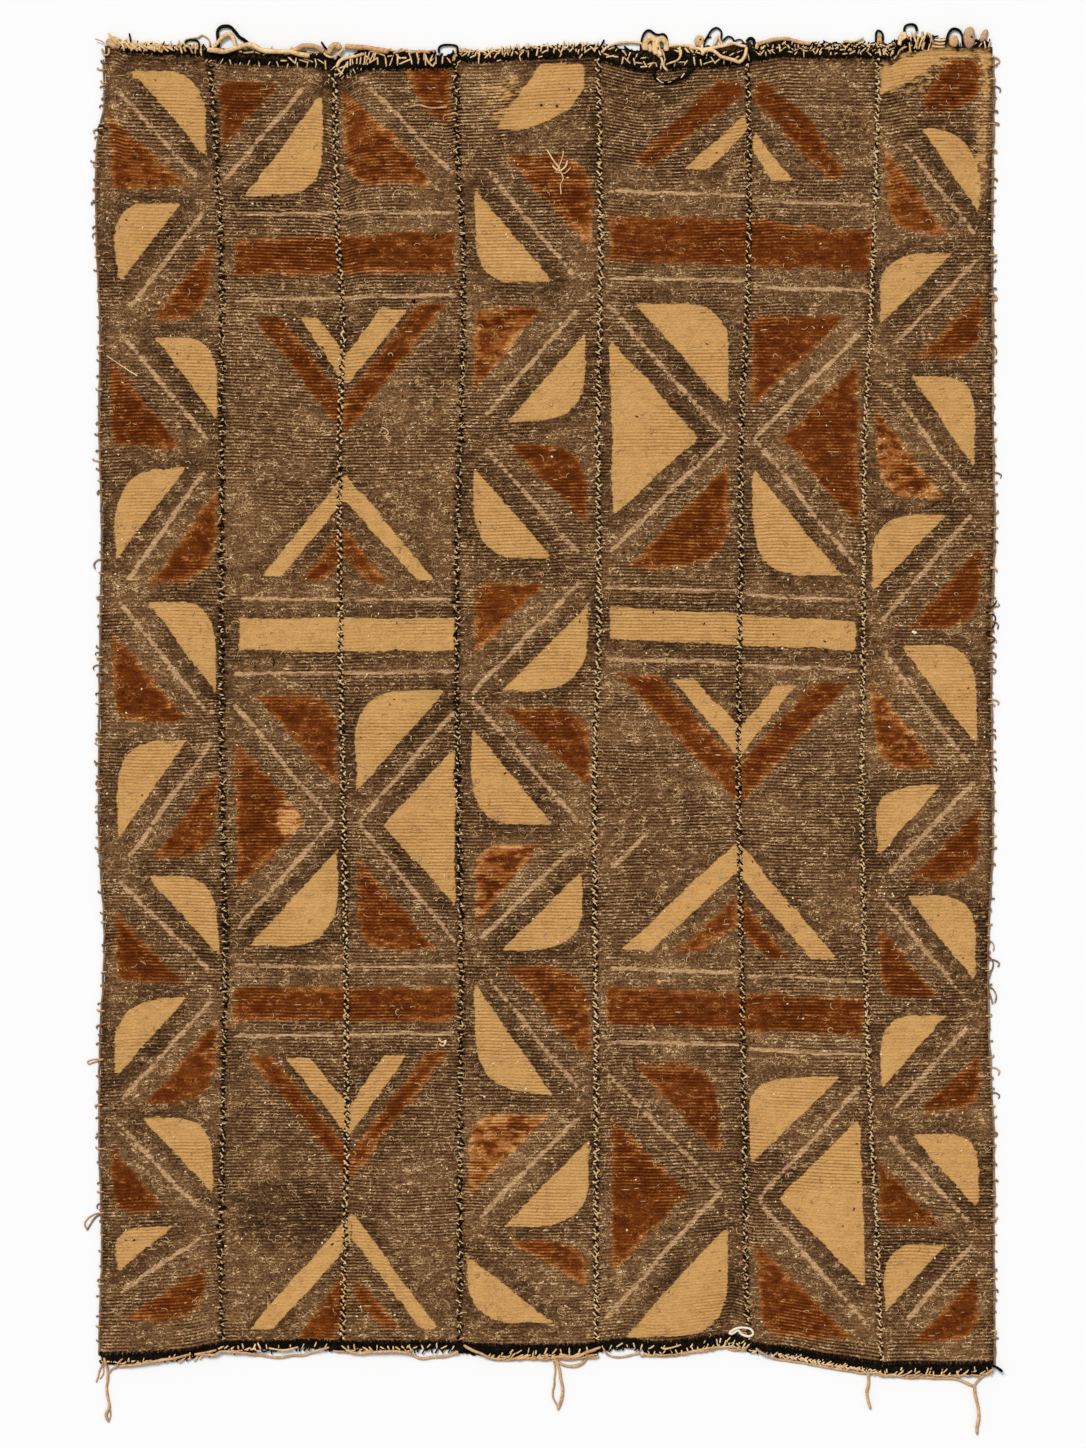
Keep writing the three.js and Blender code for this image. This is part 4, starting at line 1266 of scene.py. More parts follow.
def joinPieces(name, pieces):
    with bpy.context.temp_override(active_object=pieces[0], object=pieces[0], selected_objects=pieces,
                                   selected_editable_objects=pieces):
        bpy.ops.object.join()
    pieces[0].name = name
    return pieces[0]


stitchTree = makeStitchTree()

# Sewing of the six seams: spacing, stitch lengths and thicknesses, lean, unevenness, step to each side
seamColumns = ("pitch", "blackLong", "blackThick", "creamPitch", "creamLong", "creamThick", "lean", "jitter",
               "step")
seamStitches = rowsOf(seamColumns, [
    (6.4, 7.0, 2.3, 7.2, 4.4, 1.5, 62, 0.75, 1.0), (4.1, 3.4, 2.4, 4.3, 3.0, 2.1, 44, 0.35, 1.5),
    (5.0, 6.0, 2.2, 6.2, 4.4, 1.5, 58, 0.80, 1.1), (5.4, 5.6, 2.1, 5.4, 5.2, 1.9, 48, 0.35, 0.8),
    (3.6, 4.4, 2.0, 5.2, 3.8, 1.7, 44, 0.30, 1.4), (4.6, 3.6, 1.8, 4.0, 3.8, 1.8, 46, 0.65, 0.9),
])

# The sewn lines run past both ends and are cut back to the cloth
seamLine = {"low": -732, "top": 790, "step": 6.0, "fromEnd": 3}


def seamRoute(seam, shift):
    levels = np.arange(seamLine["low"], seamLine["top"], seamLine["step"])
    x = edgeAt(seam, levels)
    low = cutAt(bottomCut, x) + seamLine["fromEnd"]
    high = cutAt(topCut, x) - seamLine["fromEnd"]
    keep = (levels > low) & (levels < high)
    levels = levels[keep]
    x = x[keep] + shift
    left = puckerAt(x - 1, levels, max(seam - 1, 0))
    z = liftAt(x, levels) + clothSizes["thick"] * 0.92 + 0.8 * left
    return [(float(a), float(b), float(c)) for a, b, c in zip(x, levels, z)]


# Four layers of sewing to a seam: times the spacing, height over the cloth, shift to the side
seamLayers = rowsOf(("name", "yarn", "share", "high", "shift"), [
    ("black", "black", 1.0, 0.6, 0.3), ("cream", "cream", 1.0, 0.9, -0.3),
    ("blackAcross", "black", 2.6, 0.8, 0.0), ("creamAcross", "cream", 2.2, 0.9, 0.4),
])
for seam, sewing in enumerate(seamStitches, start=1):
    layers = []
    for layer in seamLayers:
        black = layer["yarn"] == "black"
        across = layer["name"].endswith("Across")
        path = pathMesh("seamPath", seamRoute(seam, layer["shift"]))
        layers.append(runTree(stitchTree, f"seam{seam}{layer['name']}", path, {
            "Pitch": sewing["pitch" if black else "creamPitch"] * layer["share"] * mm,
            "Length": sewing[layer["yarn"] + "Long"] * mm,
            "Thick": sewing[layer["yarn"] + "Thick"] * mm,
            "High": layer["high"] * mm,
            "Slant": math.radians(180 - sewing["lean"] if across else sewing["lean"]),
            "Slant Jitter": sewing["jitter"],
            "Place Jitter": (0.3 + sewing["jitter"] * 1.1) * mm,
            "Side Step": sewing["step"] * (1 if black else -1) * mm,
            "Length Jitter": 0.2 + 0.3 * sewing["jitter"],
            "Seed": seam * 10 + len(layers),
            "Yarn": blackYarn if black else seamYarn,
        }))
    piece = joinPieces(f"seam_{seam}", layers)
    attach(piece, "root")
print("mud cloth: seams sewn")

# Whipping of the cut ends
whipping = {
    "bedStep": 2.0,
    "bedHigh": 2.9,
    "ragged": 1.2,
    "nickShare": 0.12,     # how much of a bed's inner edge reaches further in
    "nickDeep": 1.8,
    "strokeStep": 4.0,
    "strokeHigh": 1.0,
    "strokeLow": 2.2,      # level of the dark strokes on the cloth
    "strokeOver": 2.8,     # and of all others, on the bed
}

# Beds of matted yarn along the edge: yarn, stretch, and reach inwards and outwards from the cut
bedColumns = ("yarn", "start", "end", "inner", "outer")
topBeds = rowsOf(bedColumns, [
    ("tan", -505, -486, -1.5, 10), ("tan", -490, -438, 0, 11), ("black", -486, -392, -1.5, 6),
    ("tan", -440, -392, 6, 10.5), ("umber", -364, -264, 1, 12.5), ("black", -394, -340, -4, 7),
    ("black", -342, -262, -5.5, 4), ("black", -264, -240, -4, 12), ("black", -242, -222, -4, 20),
    ("black", -224, -200, -5, 18), ("black", -204, -128, -5.5, 15), ("black", -130, -102, -5, 10),
    ("black", -106, 58, -3, 7), ("tan", -102, -16, 5, 10), ("umber", -20, 40, 4, 11),
    ("black", 30, 66, -3, 11), ("umber", 62, 96, -4, 12), ("black", 58, 96, -6, 6),
    ("umber", 92, 108, -4, 16), ("umber", 106, 144, -4, 20), ("black", 96, 142, -6, 6),
    ("black", 138, 202, -6, 14), ("umber", 138, 236, 6, 19), ("black", 196, 236, -5, 16),
    ("black", 232, 400, -3.5, 8), ("umber", 234, 272, 4, 16), ("umber", 268, 400, 5, 12),
    ("black", 396, 442, -2, 14), ("hem", 438, 464, 0, 9), ("black", 484, 508, 0, 8),
])
bottomBeds = rowsOf(bedColumns, [
    ("black", -510, -486, -1, 11), ("black", -488, -374, -1, 9.5), ("black", -376, -330, -3.5, 9.5),
    ("black", -332, -258, -3, 7.5), ("black", -260, -238, -2, 9), ("black", -242, -154, -1.5, 9),
    ("black", -156, -102, -1, 7), ("black", -104, -60, -1, 11), ("black", -62, 60, -1.5, 13),
    ("black", 58, 78, -1, 9), ("black", 74, 112, -2, 8), ("black", 110, 234, -0.5, 12.5),
    ("black", 232, 262, 0, 6), ("black", 258, 386, 0, 11), ("black", 384, 511, 0, 12),
])

# Yarns laid along the top edge and below the bottom one: colour, thickness, route
topYarns = rowsOf(("yarn", "wide", "rise", "route"), [
    ("black", 3.9, 0, [(-375, 782), (-376, 790), (-377, 801), (-373, 806), (-368, 807), (-362, 806),
                       (-356, 800), (-352, 795), (-346, 791), (-339, 785)]),
    ("cream", 5.0, 1.0, [(-383, 779), (-378, 786), (-372, 793), (-365, 797), (-361, 796), (-358, 790),
                         (-356, 782)]),
    ("cream", 5.6, 1.6, [(-388, 779), (-378, 778), (-369, 777), (-361, 779), (-353, 782), (-342, 785),
                         (-335, 784), (-326, 779), (-316, 777), (-305, 777), (-295, 777), (-284, 774),
                         (-271, 772)]),
    ("tan", 6.0, 1.0, [(-295, 777), (-286, 780), (-279, 784), (-270, 784), (-262, 782), (-255, 777)]),
    ("black", 2.6, 1.0, [(-258, 789), (-255, 784), (-251, 780)]),
    ("tan", 7.0, 1.0, [(-250, 774), (-245, 783), (-240, 785), (-236, 780)]),
    ("cream", 3.0, 2.6, [(-256, 781), (-253, 774), (-246, 771), (-238, 775), (-233, 781), (-226, 784)]),
    ("tan", 6.0, 1.0, [(-231, 784), (-216, 782), (-206, 782), (-199, 781), (-190, 779), (-181, 777)]),
    ("cream", 4.0, 2.0, [(-240, 759), (-236, 767), (-227, 771), (-218, 772), (-209, 775)]),
    ("cream", 2.6, 1.0, [(-240, 759), (-237, 755), (-232, 751)]),
    ("black", 4.0, 0.6, [(-232, 750), (-227, 757), (-221, 761), (-213, 761), (-203, 760)]),
    ("cream", 2.2, 1.2, [(-139, 774), (-136, 766), (-130, 761), (-128, 765)]),
    ("black", 2.9, 0.4, [(-123, 776), (-123, 782), (-118, 785), (-105, 785), (-102, 782), (-102, 774)]),
    ("cream", 3.0, 0.8, [(63, 776), (70, 783), (80, 787), (92, 788), (102, 788), (109, 787), (111, 780)]),
    ("black", 2.4, 0.6, [(89, 784), (94, 780), (100, 778), (106, 778), (109, 781)]),
    ("black", 2.6, 0.2, [(108, 780), (110, 795), (113, 800), (116, 802), (120, 801), (124, 798), (129, 797),
                         (133, 798), (137, 795), (139, 783)]),
    ("cream", 7.4, 0.6, [(113, 779), (114, 789), (119, 793), (124, 790), (124, 782), (126, 774)]),
    ("cream", 6.6, 1.2, [(137, 778), (137, 787), (132, 792), (127, 789), (128, 781), (131, 772)]),
    # these three short umber yarns in the hollows of the cream knot are painted shade
    ("umber", 1.8, 6.4, [(119, 788), (120, 785)]),
    ("umber", 1.8, 6.0, [(132, 788), (132, 786)]),
    ("umber", 2.2, 5.0, [(128, 782), (128, 779)]),
    ("cream", 2.8, 1.4, [(125, 775), (131, 770), (134, 761), (139, 755)]),
    ("cream", 3.4, 1.4, [(135, 783), (142, 784), (151, 785), (159, 784), (168, 783), (175, 780)]),
    ("cream", 3.6, 2.0, [(178, 786), (178, 780), (179, 776)]),
    ("cream", 2.4, 1.8, [(150, 782), (154, 779), (153, 772), (149, 767), (140, 764)]),
    ("black", 4.2, 0.2, [(170, 759), (163, 754), (155, 748), (147, 744), (138, 742), (129, 744), (124, 749),
                         (123, 756), (125, 759)]),
    ("black", 5.4, 0.4, [(167, 756), (161, 752), (156, 747)]),
    # the thin white and cream yarns on the black loop are painted highlights
    ("white", 1.6, 4.0, [(158, 752), (154, 747)]),
    ("white", 1.2, 3.2, [(126, 747), (130, 743), (134, 741)]),
    ("cream", 1.3, 3.4, [(139, 742), (143, 743)]),
    ("black", 2.6, 0.4, [(180, 780), (180, 787), (185, 796), (189, 802), (195, 805), (200, 801), (200, 795),
                         (200, 790), (203, 784)]),
    ("black", 1.8, 0.4, [(180, 787), (183, 792), (189, 795)]),
    ("cream", 3.0, 1.0, [(191, 784), (194, 790), (197, 795), (199, 790), (202, 784)]),
    ("black", 2.2, 0.4, [(202, 790), (208, 795), (214, 792), (215, 784)]),
    ("black", 1.7, 0.4, [(214, 790), (221, 792), (225, 790), (227, 784)]),
    ("cream", 4.0, 1.6, [(164, 782), (173, 781), (178, 780), (187, 781), (196, 783), (206, 785), (214, 787),
                         (221, 785), (229, 783)]),
    ("cream", 4.4, 2.0, [(178, 773), (181, 778), (189, 779), (195, 775), (200, 771), (208, 769), (215, 767),
                         (221, 765), (225, 769), (228, 775), (229, 782)]),
    ("black", 4.0, 1.0, [(229, 789), (233, 793), (237, 791), (238, 782)]),
    ("tan", 4.4, 1.0, [(240, 780), (242, 786), (252, 789), (265, 792), (278, 792), (287, 789), (302, 786)]),
    ("cream", 2.4, 1.2, [(340, 790), (352, 789), (363, 794)]),
    ("black", 2.4, 0.4, [(377, 788), (378, 800), (381, 802), (385, 798), (385, 788)]),
    ("tan", 3.6, 0.4, [(380, 786), (381, 797), (383, 787)]),
    ("black", 3.2, 0.4, [(411, 792), (410, 804), (413, 808), (419, 809), (423, 807), (424, 801)]),
    ("cream", 6.0, 0.8, [(404, 784), (406, 795), (410, 798), (411, 790)]),
    ("black", 5.0, 1.0, [(413, 792), (407, 786), (401, 780), (399, 773)]),
    ("cream", 2.2, 2.2, [(412, 783), (406, 780), (402, 775), (398, 769)]),
    ("cream", 2.2, 2.0, [(418, 800), (422, 791), (424, 780)]),
    ("cream", 2.2, 2.0, [(436, 800), (430, 791), (426, 780)]),
    ("black", 2.0, 0.4, [(438, 790), (441, 794), (449, 796)]),
    ("cream", 2.4, 1.2, [(444, 791), (451, 790), (457, 791)]),
    ("cream", 2.4, 1.2, [(444, 787), (451, 786), (457, 787)]),
    ("black", 3.4, 0.6, [(457, 785), (461, 799), (466, 804), (473, 802), (476, 796), (477, 784)]),
    ("cream", 2.2, 1.2, [(441, 783), (448, 783), (456, 783)]),
    ("tan", 1.4, 0.0, [(-517, 792), (-514, 791), (-510, 790), (-506, 787)]),
    ("tan", 2.8, 0.8, [(-509, 781), (-508, 775), (-505, 773), (-501, 775), (-501, 781)]),
    ("cream", 2.4, 0.8, [(-502, 799), (-498, 794), (-492, 786)]),
    ("black", 2.2, 0.6, [(-478, 799), (-476, 788)]),
    ("tan", 1.8, 0.4, [(-417, 786), (-414, 791), (-408, 793), (-399, 794), (-395, 797), (-389, 794),
                       (-386, 790), (-386, 782)]),
    ("black", 2.4, 0.2, [(-417, 784), (-412, 790), (-405, 791), (-399, 789), (-397, 781)]),
])
bottomYarns = rowsOf(("yarn", "wide", "rise", "route"), [
    ("tan", 3.3, 0, [(-491, -729), (-470, -726), (-457, -724), (-442, -721), (-428, -719), (-419, -717),
                     (-407, -714)]),
    ("tan", 2.8, 0, [(-403, -714), (-390, -715), (-380, -715), (-372, -711), (-356, -712), (-344, -713),
                     (-334, -715), (-325, -716), (-315, -718), (-304, -718), (-290, -716), (-280, -716),
                     (-273, -714), (-266, -711), (-256, -708), (-249, -706)]),
    ("tan", 3.0, 0, [(-507, -718), (-504, -728), (-503, -736), (-503, -744), (-504, -755), (-503, -764),
                     (-501, -774), (-503, -779), (-505, -784), (-502, -792)]),
    ("tan", 1.6, 0, [(-501, -774), (-500, -780), (-500, -786), (-502, -792)]),
    ("tan", 2.6, 0.4, [(-403, -714), (-390, -712), (-378, -709)]),
    ("cream", 2.0, 1.2, [(-318, -707), (-300, -709), (-284, -706)]),
    ("tan", 2.0, 0.8, [(-485, -719), (-490, -723), (-493, -729), (-498, -731), (-502, -736)]),
    ("tan", 1.8, 0, [(-508, -724), (-513, -735), (-514, -740), (-516, -747)]),
    ("tan", 1.6, 0, [(-508, -722), (-508, -728), (-508, -737), (-512, -743)]),
    ("tan", 3.2, 0, [(-230, -709), (-218, -713), (-200, -712), (-185, -711), (-171, -711), (-159, -713),
                     (-145, -719), (-130, -718), (-113, -716), (-101, -711)]),
    ("tan", 3.2, 0, [(-95, -704), (-84, -710), (-76, -713), (-68, -717), (-60, -720), (-44, -721),
                     (-29, -720), (-18, -720), (-4, -721), (5, -721)]),
    ("tan", 3.2, 0.6, [(5, -720), (13, -717), (25, -717), (35, -717), (45, -712), (62, -706)]),
    ("tan", 3.0, 0, [(7, -722), (17, -720), (27, -721), (37, -719)]),
    ("tan", 3.2, 0, [(8, -721), (15, -725), (23, -728), (33, -728), (42, -724), (46, -718), (45, -710)]),
    ("tan", 2.0, 0, [(7, -719), (10, -731), (9, -741), (9, -750), (7, -758), (8, -766), (12, -773),
                     (13, -778)]),
    ("tan", 3.2, 0, [(9, -719), (15, -733), (16, -742), (18, -752), (18, -760), (16, -769), (13, -778)]),
    ("tan", 2.3, 0, [(65, -707), (70, -715), (79, -718), (91, -717), (103, -714), (107, -712)]),
    ("tan", 2.6, 0, [(111, -713), (121, -716), (137, -717), (152, -715), (162, -712), (183, -708),
                     (203, -706), (211, -709), (222, -710), (230, -706)]),
    ("cream", 2.0, 1.0, [(131, -706), (135, -708), (146, -706), (154, -703)]),
    ("white", 2.8, 0.4, [(209, -689), (220, -684), (233, -685), (237, -691), (232, -694), (223, -691),
                         (220, -687), (212, -691), (209, -689)]),
    ("tan", 2.6, 0, [(240, -707), (246, -712), (255, -717), (263, -720), (291, -724), (319, -729),
                     (348, -734), (365, -736), (381, -735)]),
    ("tan", 3.2, 0, [(381, -735), (388, -739), (395, -738), (411, -741), (430, -741), (447, -742),
                     (462, -742), (471, -743), (480, -747), (488, -751)]),
    ("tan", 3.0, 0, [(512, -731), (503, -737), (495, -744), (490, -750)]),
    ("tan", 3.6, 0, [(490, -749), (491, -760), (493, -769), (495, -781), (495, -789), (493, -798),
                     (493, -806)]),
    ("tan", 3.4, 0, [(369, -734), (369, -748), (367, -757), (368, -767), (371, -777)]),
    ("black", 3.4, 0, [(502, -727), (509, -727), (515, -729), (522, -734)]),
])

# Round tufts that stand off the edge
topTufts = rowsOf(("yarn", "x", "y", "wide", "long", "turn", "tall"), [
    ("pink", 484, 793, 14, 25, 84, 0.6), ("pink", 501, 796, 7, 16, 62, 0.6),
    ("tan", 466, 789, 11, 14, 90, 0.6), ("tan", 175, 790, 12, 13, 90, 0.6),
    ("cream", 408, 792, 9, 13, 70, 0.6), ("tan", 382, 793, 4, 9, 90, 0.6),
    ("black", 143, 772, 15, 15, 0, 0.3), ("umber", 176, 791, 4, 4, 0, 1.9),
    ("umber", 486, 793, 4, 5, 0, 2.2), ("cream", 120, 783, 10, 12, 60, 0.45),
])

# Strokes over the beds: yarn, stretch of the edge, how far out, length, spacing, lean, thickness, unevenness
strokeColumns = ("yarn", "start", "end", "out", "long", "pitch", "lean", "thick", "jitter")
topStrokes = rowsOf(strokeColumns, [
    ("cream", -500, -442, 7, 11, 5.2, -46, 2.4, 0.7), ("cream", -498, -442, 9, 9, 6.8, 28, 2.2, 0.9),
    ("cream", -484, -394, 5, 9, 5.6, -58, 2.3, 0.6), ("cream", -484, -394, 9, 7, 6.4, 12, 2.1, 1.3),
    ("black", -480, -394, 7, 6, 10, 50, 1.9, 1.2), ("black", -488, -392, 0, 5, 3.4, 84, 1.9, 0.6),
    ("black", -470, -392, 8, 6, 14, 60, 2.0, 0.8), ("umber", -396, -256, 8, 6, 4.6, 70, 1.9, 0.9),
    ("black", -392, -236, -3, 7, 3.0, 84, 1.9, 0.6), ("black", -390, -264, 6, 8, 7.0, 40, 2.1, 1.0),
    ("tan", -350, -264, 9, 10, 9.0, 6, 2.2, 0.4), ("cream", -372, -262, -4, 5, 10, 84, 1.4, 0.6),
    ("cream", -300, -250, 1, 9, 6.5, -46, 1.8, 0.8), ("cream", -330, -270, 12, 8, 12, 20, 1.8, 0.8),
    ("black", -240, -104, -3, 8, 3.0, 70, 2.1, 0.6), ("cream", -240, -200, 6, 16, 4.4, 60, 1.8, 0.22),
    ("cream", -238, -204, -2, 6, 5.0, 66, 1.6, 0.5), ("cream", -200, -130, 3, 12, 7.0, 64, 1.9, 0.7),
    ("cream", -204, -130, 8, 9, 7.4, -50, 2.0, 1.3), ("tan", -196, -132, 14, 10, 6.4, 6, 2.8, 0.4),
    ("black", -190, -106, 8, 8, 7.5, 64, 2.6, 0.8), ("cream", -126, -104, 3, 7, 6.0, 70, 1.7, 0.8),
    ("black", -106, 58, -1, 6, 2.8, 84, 2.1, 0.5), ("cream", -104, 56, 8, 9, 5.4, -52, 2.2, 1.2),
    ("cream", -104, 56, 10, 8, 6.0, 44, 2.1, 1.4), ("cream", -104, 56, 4, 8, 9, 70, 1.9, 0.9),
    ("black", -104, 56, 8, 6, 7.5, 30, 2.1, 1.4), ("black", -40, 60, 7, 8, 5.2, 50, 2.4, 0.8),
    ("black", -100, -20, 8, 6, 12, 40, 2.4, 0.9), ("cream", -100, 40, -2, 5, 22, 60, 1.6, 0.9),
    ("black", 58, 232, -3, 8, 3.4, 76, 2.2, 0.8), ("black", 62, 232, 7, 9, 4.6, 50, 2.4, 1.0),
    ("cream", 60, 120, 2, 8, 6.4, -40, 1.8, 1.2), ("cream", 66, 112, 9, 8, 7.4, 20, 1.8, 1.4),
    ("cream", 112, 160, 0, 8, 5.4, 30, 1.7, 1.4), ("cream", 136, 172, 12, 11, 5.4, 50, 2.3, 1.4),
    ("cream", 170, 232, 1, 9, 6.2, 60, 1.8, 1.3), ("cream", 176, 228, 9, 9, 7.6, -50, 1.8, 1.4),
    ("black", 62, 232, 11, 9, 6.0, 30, 2.2, 1.5), ("umber", 120, 160, -2, 8, 5.0, 4, 1.6, 0.5),
    ("black", 230, 400, -2, 6, 2.8, 86, 2.1, 0.45), ("black", 240, 440, 8, 9, 5.0, 64, 2.6, 0.9),
    ("cream", 240, 404, 5, 7, 4.6, 55, 1.8, 1.2), ("cream", 240, 404, 9, 7, 5.0, -40, 1.8, 1.4),
    ("cream", 250, 400, 1, 5, 9, 70, 1.6, 1.2), ("cream", 300, 404, 11, 9, 9.5, 6, 2.1, 0.6),
    ("black", 236, 404, 5, 6, 4.2, 40, 1.9, 1.4), ("black", 240, 404, 12, 6, 4.4, 20, 1.8, 0.9),
    ("cream", 382, 440, 4, 12, 6.4, 80, 2.4, 0.5), ("black", 396, 444, 10, 10, 5.0, 70, 2.5, 0.6),
    ("cream", 404, 442, 9, 13, 6.4, 70, 2.6, 0.5), ("tan", 404, 440, 12, 11, 9.0, 96, 2.6, 0.6),
    ("cream", 484, 508, 3, 6, 5.0, 60, 1.8, 0.8), ("black", 484, 508, 4, 7, 3.2, 70, 1.9, 0.7),
    ("black", 462, 486, 1, 4, 3.0, 84, 1.3, 0.5),
])
bottomStrokes = rowsOf(strokeColumns, [
    ("black", -511, 512, 0, 6, 2.4, 84, 2.1, 0.5), ("black", -511, 512, 7, 6, 5.0, 70, 2.1, 0.9),
    ("cream", -506, -384, 8, 9, 8.0, 20, 2.0, 0.5), ("cream", -480, -390, 5, 6, 15, 50, 1.7, 0.8),
    ("cream", -372, -326, 4, 7, 6.0, 62, 2.1, 0.9), ("cream", -366, -330, 7, 7, 7.0, 20, 2.0, 0.7),
    ("cream", -320, -250, 3, 5, 13, 76, 1.5, 0.5), ("cream", -232, -156, 6, 7, 6.2, 130, 2.0, 0.8),
    ("cream", -160, -108, 4, 7, 8.0, 60, 1.9, 0.9), ("tan", -240, -160, 9, 9, 8.0, 4, 2.4, 0.4),
    ("cream", -66, 56, 10, 8, 5.6, 40, 2.0, 0.8), ("cream", -40, 56, 6, 8, 9.0, 70, 1.9, 0.7),
    ("tan", -60, 56, 13, 9, 6.0, 4, 2.6, 0.3), ("cream", 66, 120, 5, 6, 8.0, 70, 1.8, 0.8),
    ("cream", 118, 226, 10, 6, 6.0, 80, 1.8, 0.8), ("cream", 120, 226, 4, 5, 14, 80, 1.5, 0.8),
    ("tan", 112, 226, 12.5, 9, 8.0, 4, 2.4, 0.3), ("cream", 200, 240, 7, 8, 5.0, 30, 2.0, 1.0),
    ("cream", 262, 382, 8, 6.5, 4.2, 34, 2.2, 0.3), ("cream", 266, 382, 9.5, 6.5, 4.6, -34, 2.2, 0.3),
    ("cream", 380, 510, 9, 8, 9.0, 60, 2.0, 0.9), ("cream", 390, 506, 6, 6, 16, 80, 1.7, 0.8),
    ("tan", 384, 500, 12, 9, 8.0, 4, 2.2, 0.3),
])


def makeBed(cut, side, bed, seed):
    # a low closed ridge of matted yarn with ragged edges
    uneven = np.random.default_rng(seed)
    places = np.arange(bed["start"], bed["end"] + 0.1, whipping["bedStep"])
    count = len(places)
    inner = bed["inner"] + whipping["ragged"] * uneven.uniform(-1, 1, count)
    outer = bed["outer"] + whipping["ragged"] * uneven.uniform(-1, 1, count)
    inner = inner - np.where(uneven.random(count) < whipping["nickShare"], whipping["nickDeep"], 0)
    high = whipping["bedHigh"] * (1 + 0.16 * uneven.uniform(-1, 1, count))
    ends = np.minimum(1, np.minimum(np.arange(count), np.arange(count)[::-1]) / 2.0 + 0.3)
    middle = (inner + outer) / 2
    inner = middle + (inner - middle) * ends
    outer = middle + (outer - middle) * ends
    edge = cutAt(cut, places)
    lift = liftAt(places, edge)
    rings = []
    for i in range(count):
        onCloth = lift[i] + 1.0 if inner[i] < 0.4 else 0.1
        top = high[i] + 0.6 * lift[i]
        section = [
            (outer[i] - 0.6, 0.0), (outer[i], 0.9), (outer[i] - 0.7, 0.75 * top),
            (middle[i] + 0.2 * (outer[i] - middle[i]), top),
            (middle[i] - 0.5 * (middle[i] - inner[i]), top + 0.3 * lift[i]),
            (inner[i] + 0.3, max(0.8 * top, onCloth + 1.4)), (inner[i], onCloth), (middle[i], 0.0),
        ]
        ring = [(float(places[i]), float(edge[i] + side * out), float(level)) for out, level in section]
        rings.append(ring if side > 0 else ring[::-1])
    return closedTube(rings)


def edgePath(cut, side, out, start, end, level):
    x = np.arange(start, end + 1, whipping["strokeStep"])
    y = cutAt(cut, x) + side * out
    z = liftAt(x, cutAt(cut, x)) * 0.6 + level
    return [(float(a), float(b), float(c)) for a, b, c in zip(x, y, z)]


def makeWhipping(node, cut, side, beds, yarns, tufts, strokes, seed):
    heap = YarnHeap()
    for number, bed in enumerate(beds):
        heap.add(bed["yarn"], *makeBed(cut, side, bed, seed + 60 + number))
    heap.addRows(yarns, 7, 2.0, seed, lowest=0.0)
    for number, tuft in enumerate(tufts):
        heap.add(tuft["yarn"], *makeTuft(tuft, seed + 150 + number))
    layers = [heap.makePiece(node + "Yarns")]
    for number, row in enumerate(strokes):
        low = row["yarn"] in ("black", "umber") and row["out"] < 5
        level = whipping["strokeLow" if low else "strokeOver"]
        path = pathMesh("strokes", edgePath(cut, side, row["out"], row["start"], row["end"], level))
        layers.append(runTree(stitchTree, f"{node}Strokes{number}", path, {
            "Pitch": row["pitch"] * mm,
            "Length": row["long"] * mm,
            "Thick": row["thick"] * mm,
            "High": whipping["strokeHigh"] * mm,
            "Slant": math.radians(row["lean"]),
            "Slant Jitter": row["jitter"],
            "Place Jitter": (0.5 + row["jitter"]) * mm,
            "Side Step": 0.0,
            "Length Jitter": 0.3,
            "Seed": seed + 20 + number,
            "Yarn": yarnFinishes[row["yarn"]],
        }))
    piece = joinPieces(node + "_yarn", layers)
    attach(piece, "root")
    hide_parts(node)


makeWhipping("whipping_top", topCut, 1, topBeds, topYarns, topTufts, topStrokes, 300)
makeWhipping("whipping_bottom", bottomCut, -1, bottomBeds, bottomYarns, [], bottomStrokes, 400)
print("mud cloth: cut ends whipped")

# Outermost warps of the two outer strips, with their loose weft ends
selvedge = {
    "wide": 2.6,
    "high": 1.9,
    "fromEdge": 1.5,
    "top": 776,
    "step": 9.0,
    "curlThick": 1.9,
    "curlOut": 1.2,        # the strands reach so much further than their solids
    "fringeLow": -700,     # small weft ends between the listed ones
    "fringeTop": 765,
    "fringeStep": 17.0,
}
curlColumns = ("y", "reach", "lean")
leftCurls = rowsOf(curlColumns, [
    (757, 8, 2), (739, 6, -2), (717, 6, -3), (690, 8, -5), (666, 4.5, -2), (651, 7, 2), (622, 4.5, -3),
    (606, 6, -3), (571, 5.5, -6), (441, 4.5, -3), (353, 4.5, -2), (338, 6, 2), (309, 8.5, 2), (276, 5, -5),
    (197, 9, -11), (155, 6, -4), (90, 6, -3), (76, 8, -6), (-8, 5, -3), (-37, 6, 2), (-57, 4.5, -5),
    (-85, 5, -3), (-136, 5.5, 2), (-337, 5.5, -4), (-376, 13.5, -6), (-464, 5, -3), (-541, 5.5, -6),
    (-552, 17.5, -20), (-628, 5, -3),
])
rightCurls = rowsOf(curlColumns, [
    (772, 7, -7), (739, 8, -7), (697, 7, -3), (666, 5, -4), (633, 6, -3), (537, 6, 2), (500, 5.5, -7),
    (441, 5, -10), (296, 9, -6), (186, 5, -4), (141, 8.5, 4), (126, 8, -9), (106, 7, -5), (90, 6, -6),
    (72, 6, -5), (36, 8.5, -6), (-4, 5, -5), (-40, 5.5, -6), (-240, 7, -12), (-262, 12, -8), (-293, 9, -18),
    (-385, 10, -9), (-414, 9, -7), (-460, 5, -3), (-560, 5, 2), (-640, 5, -3),
])

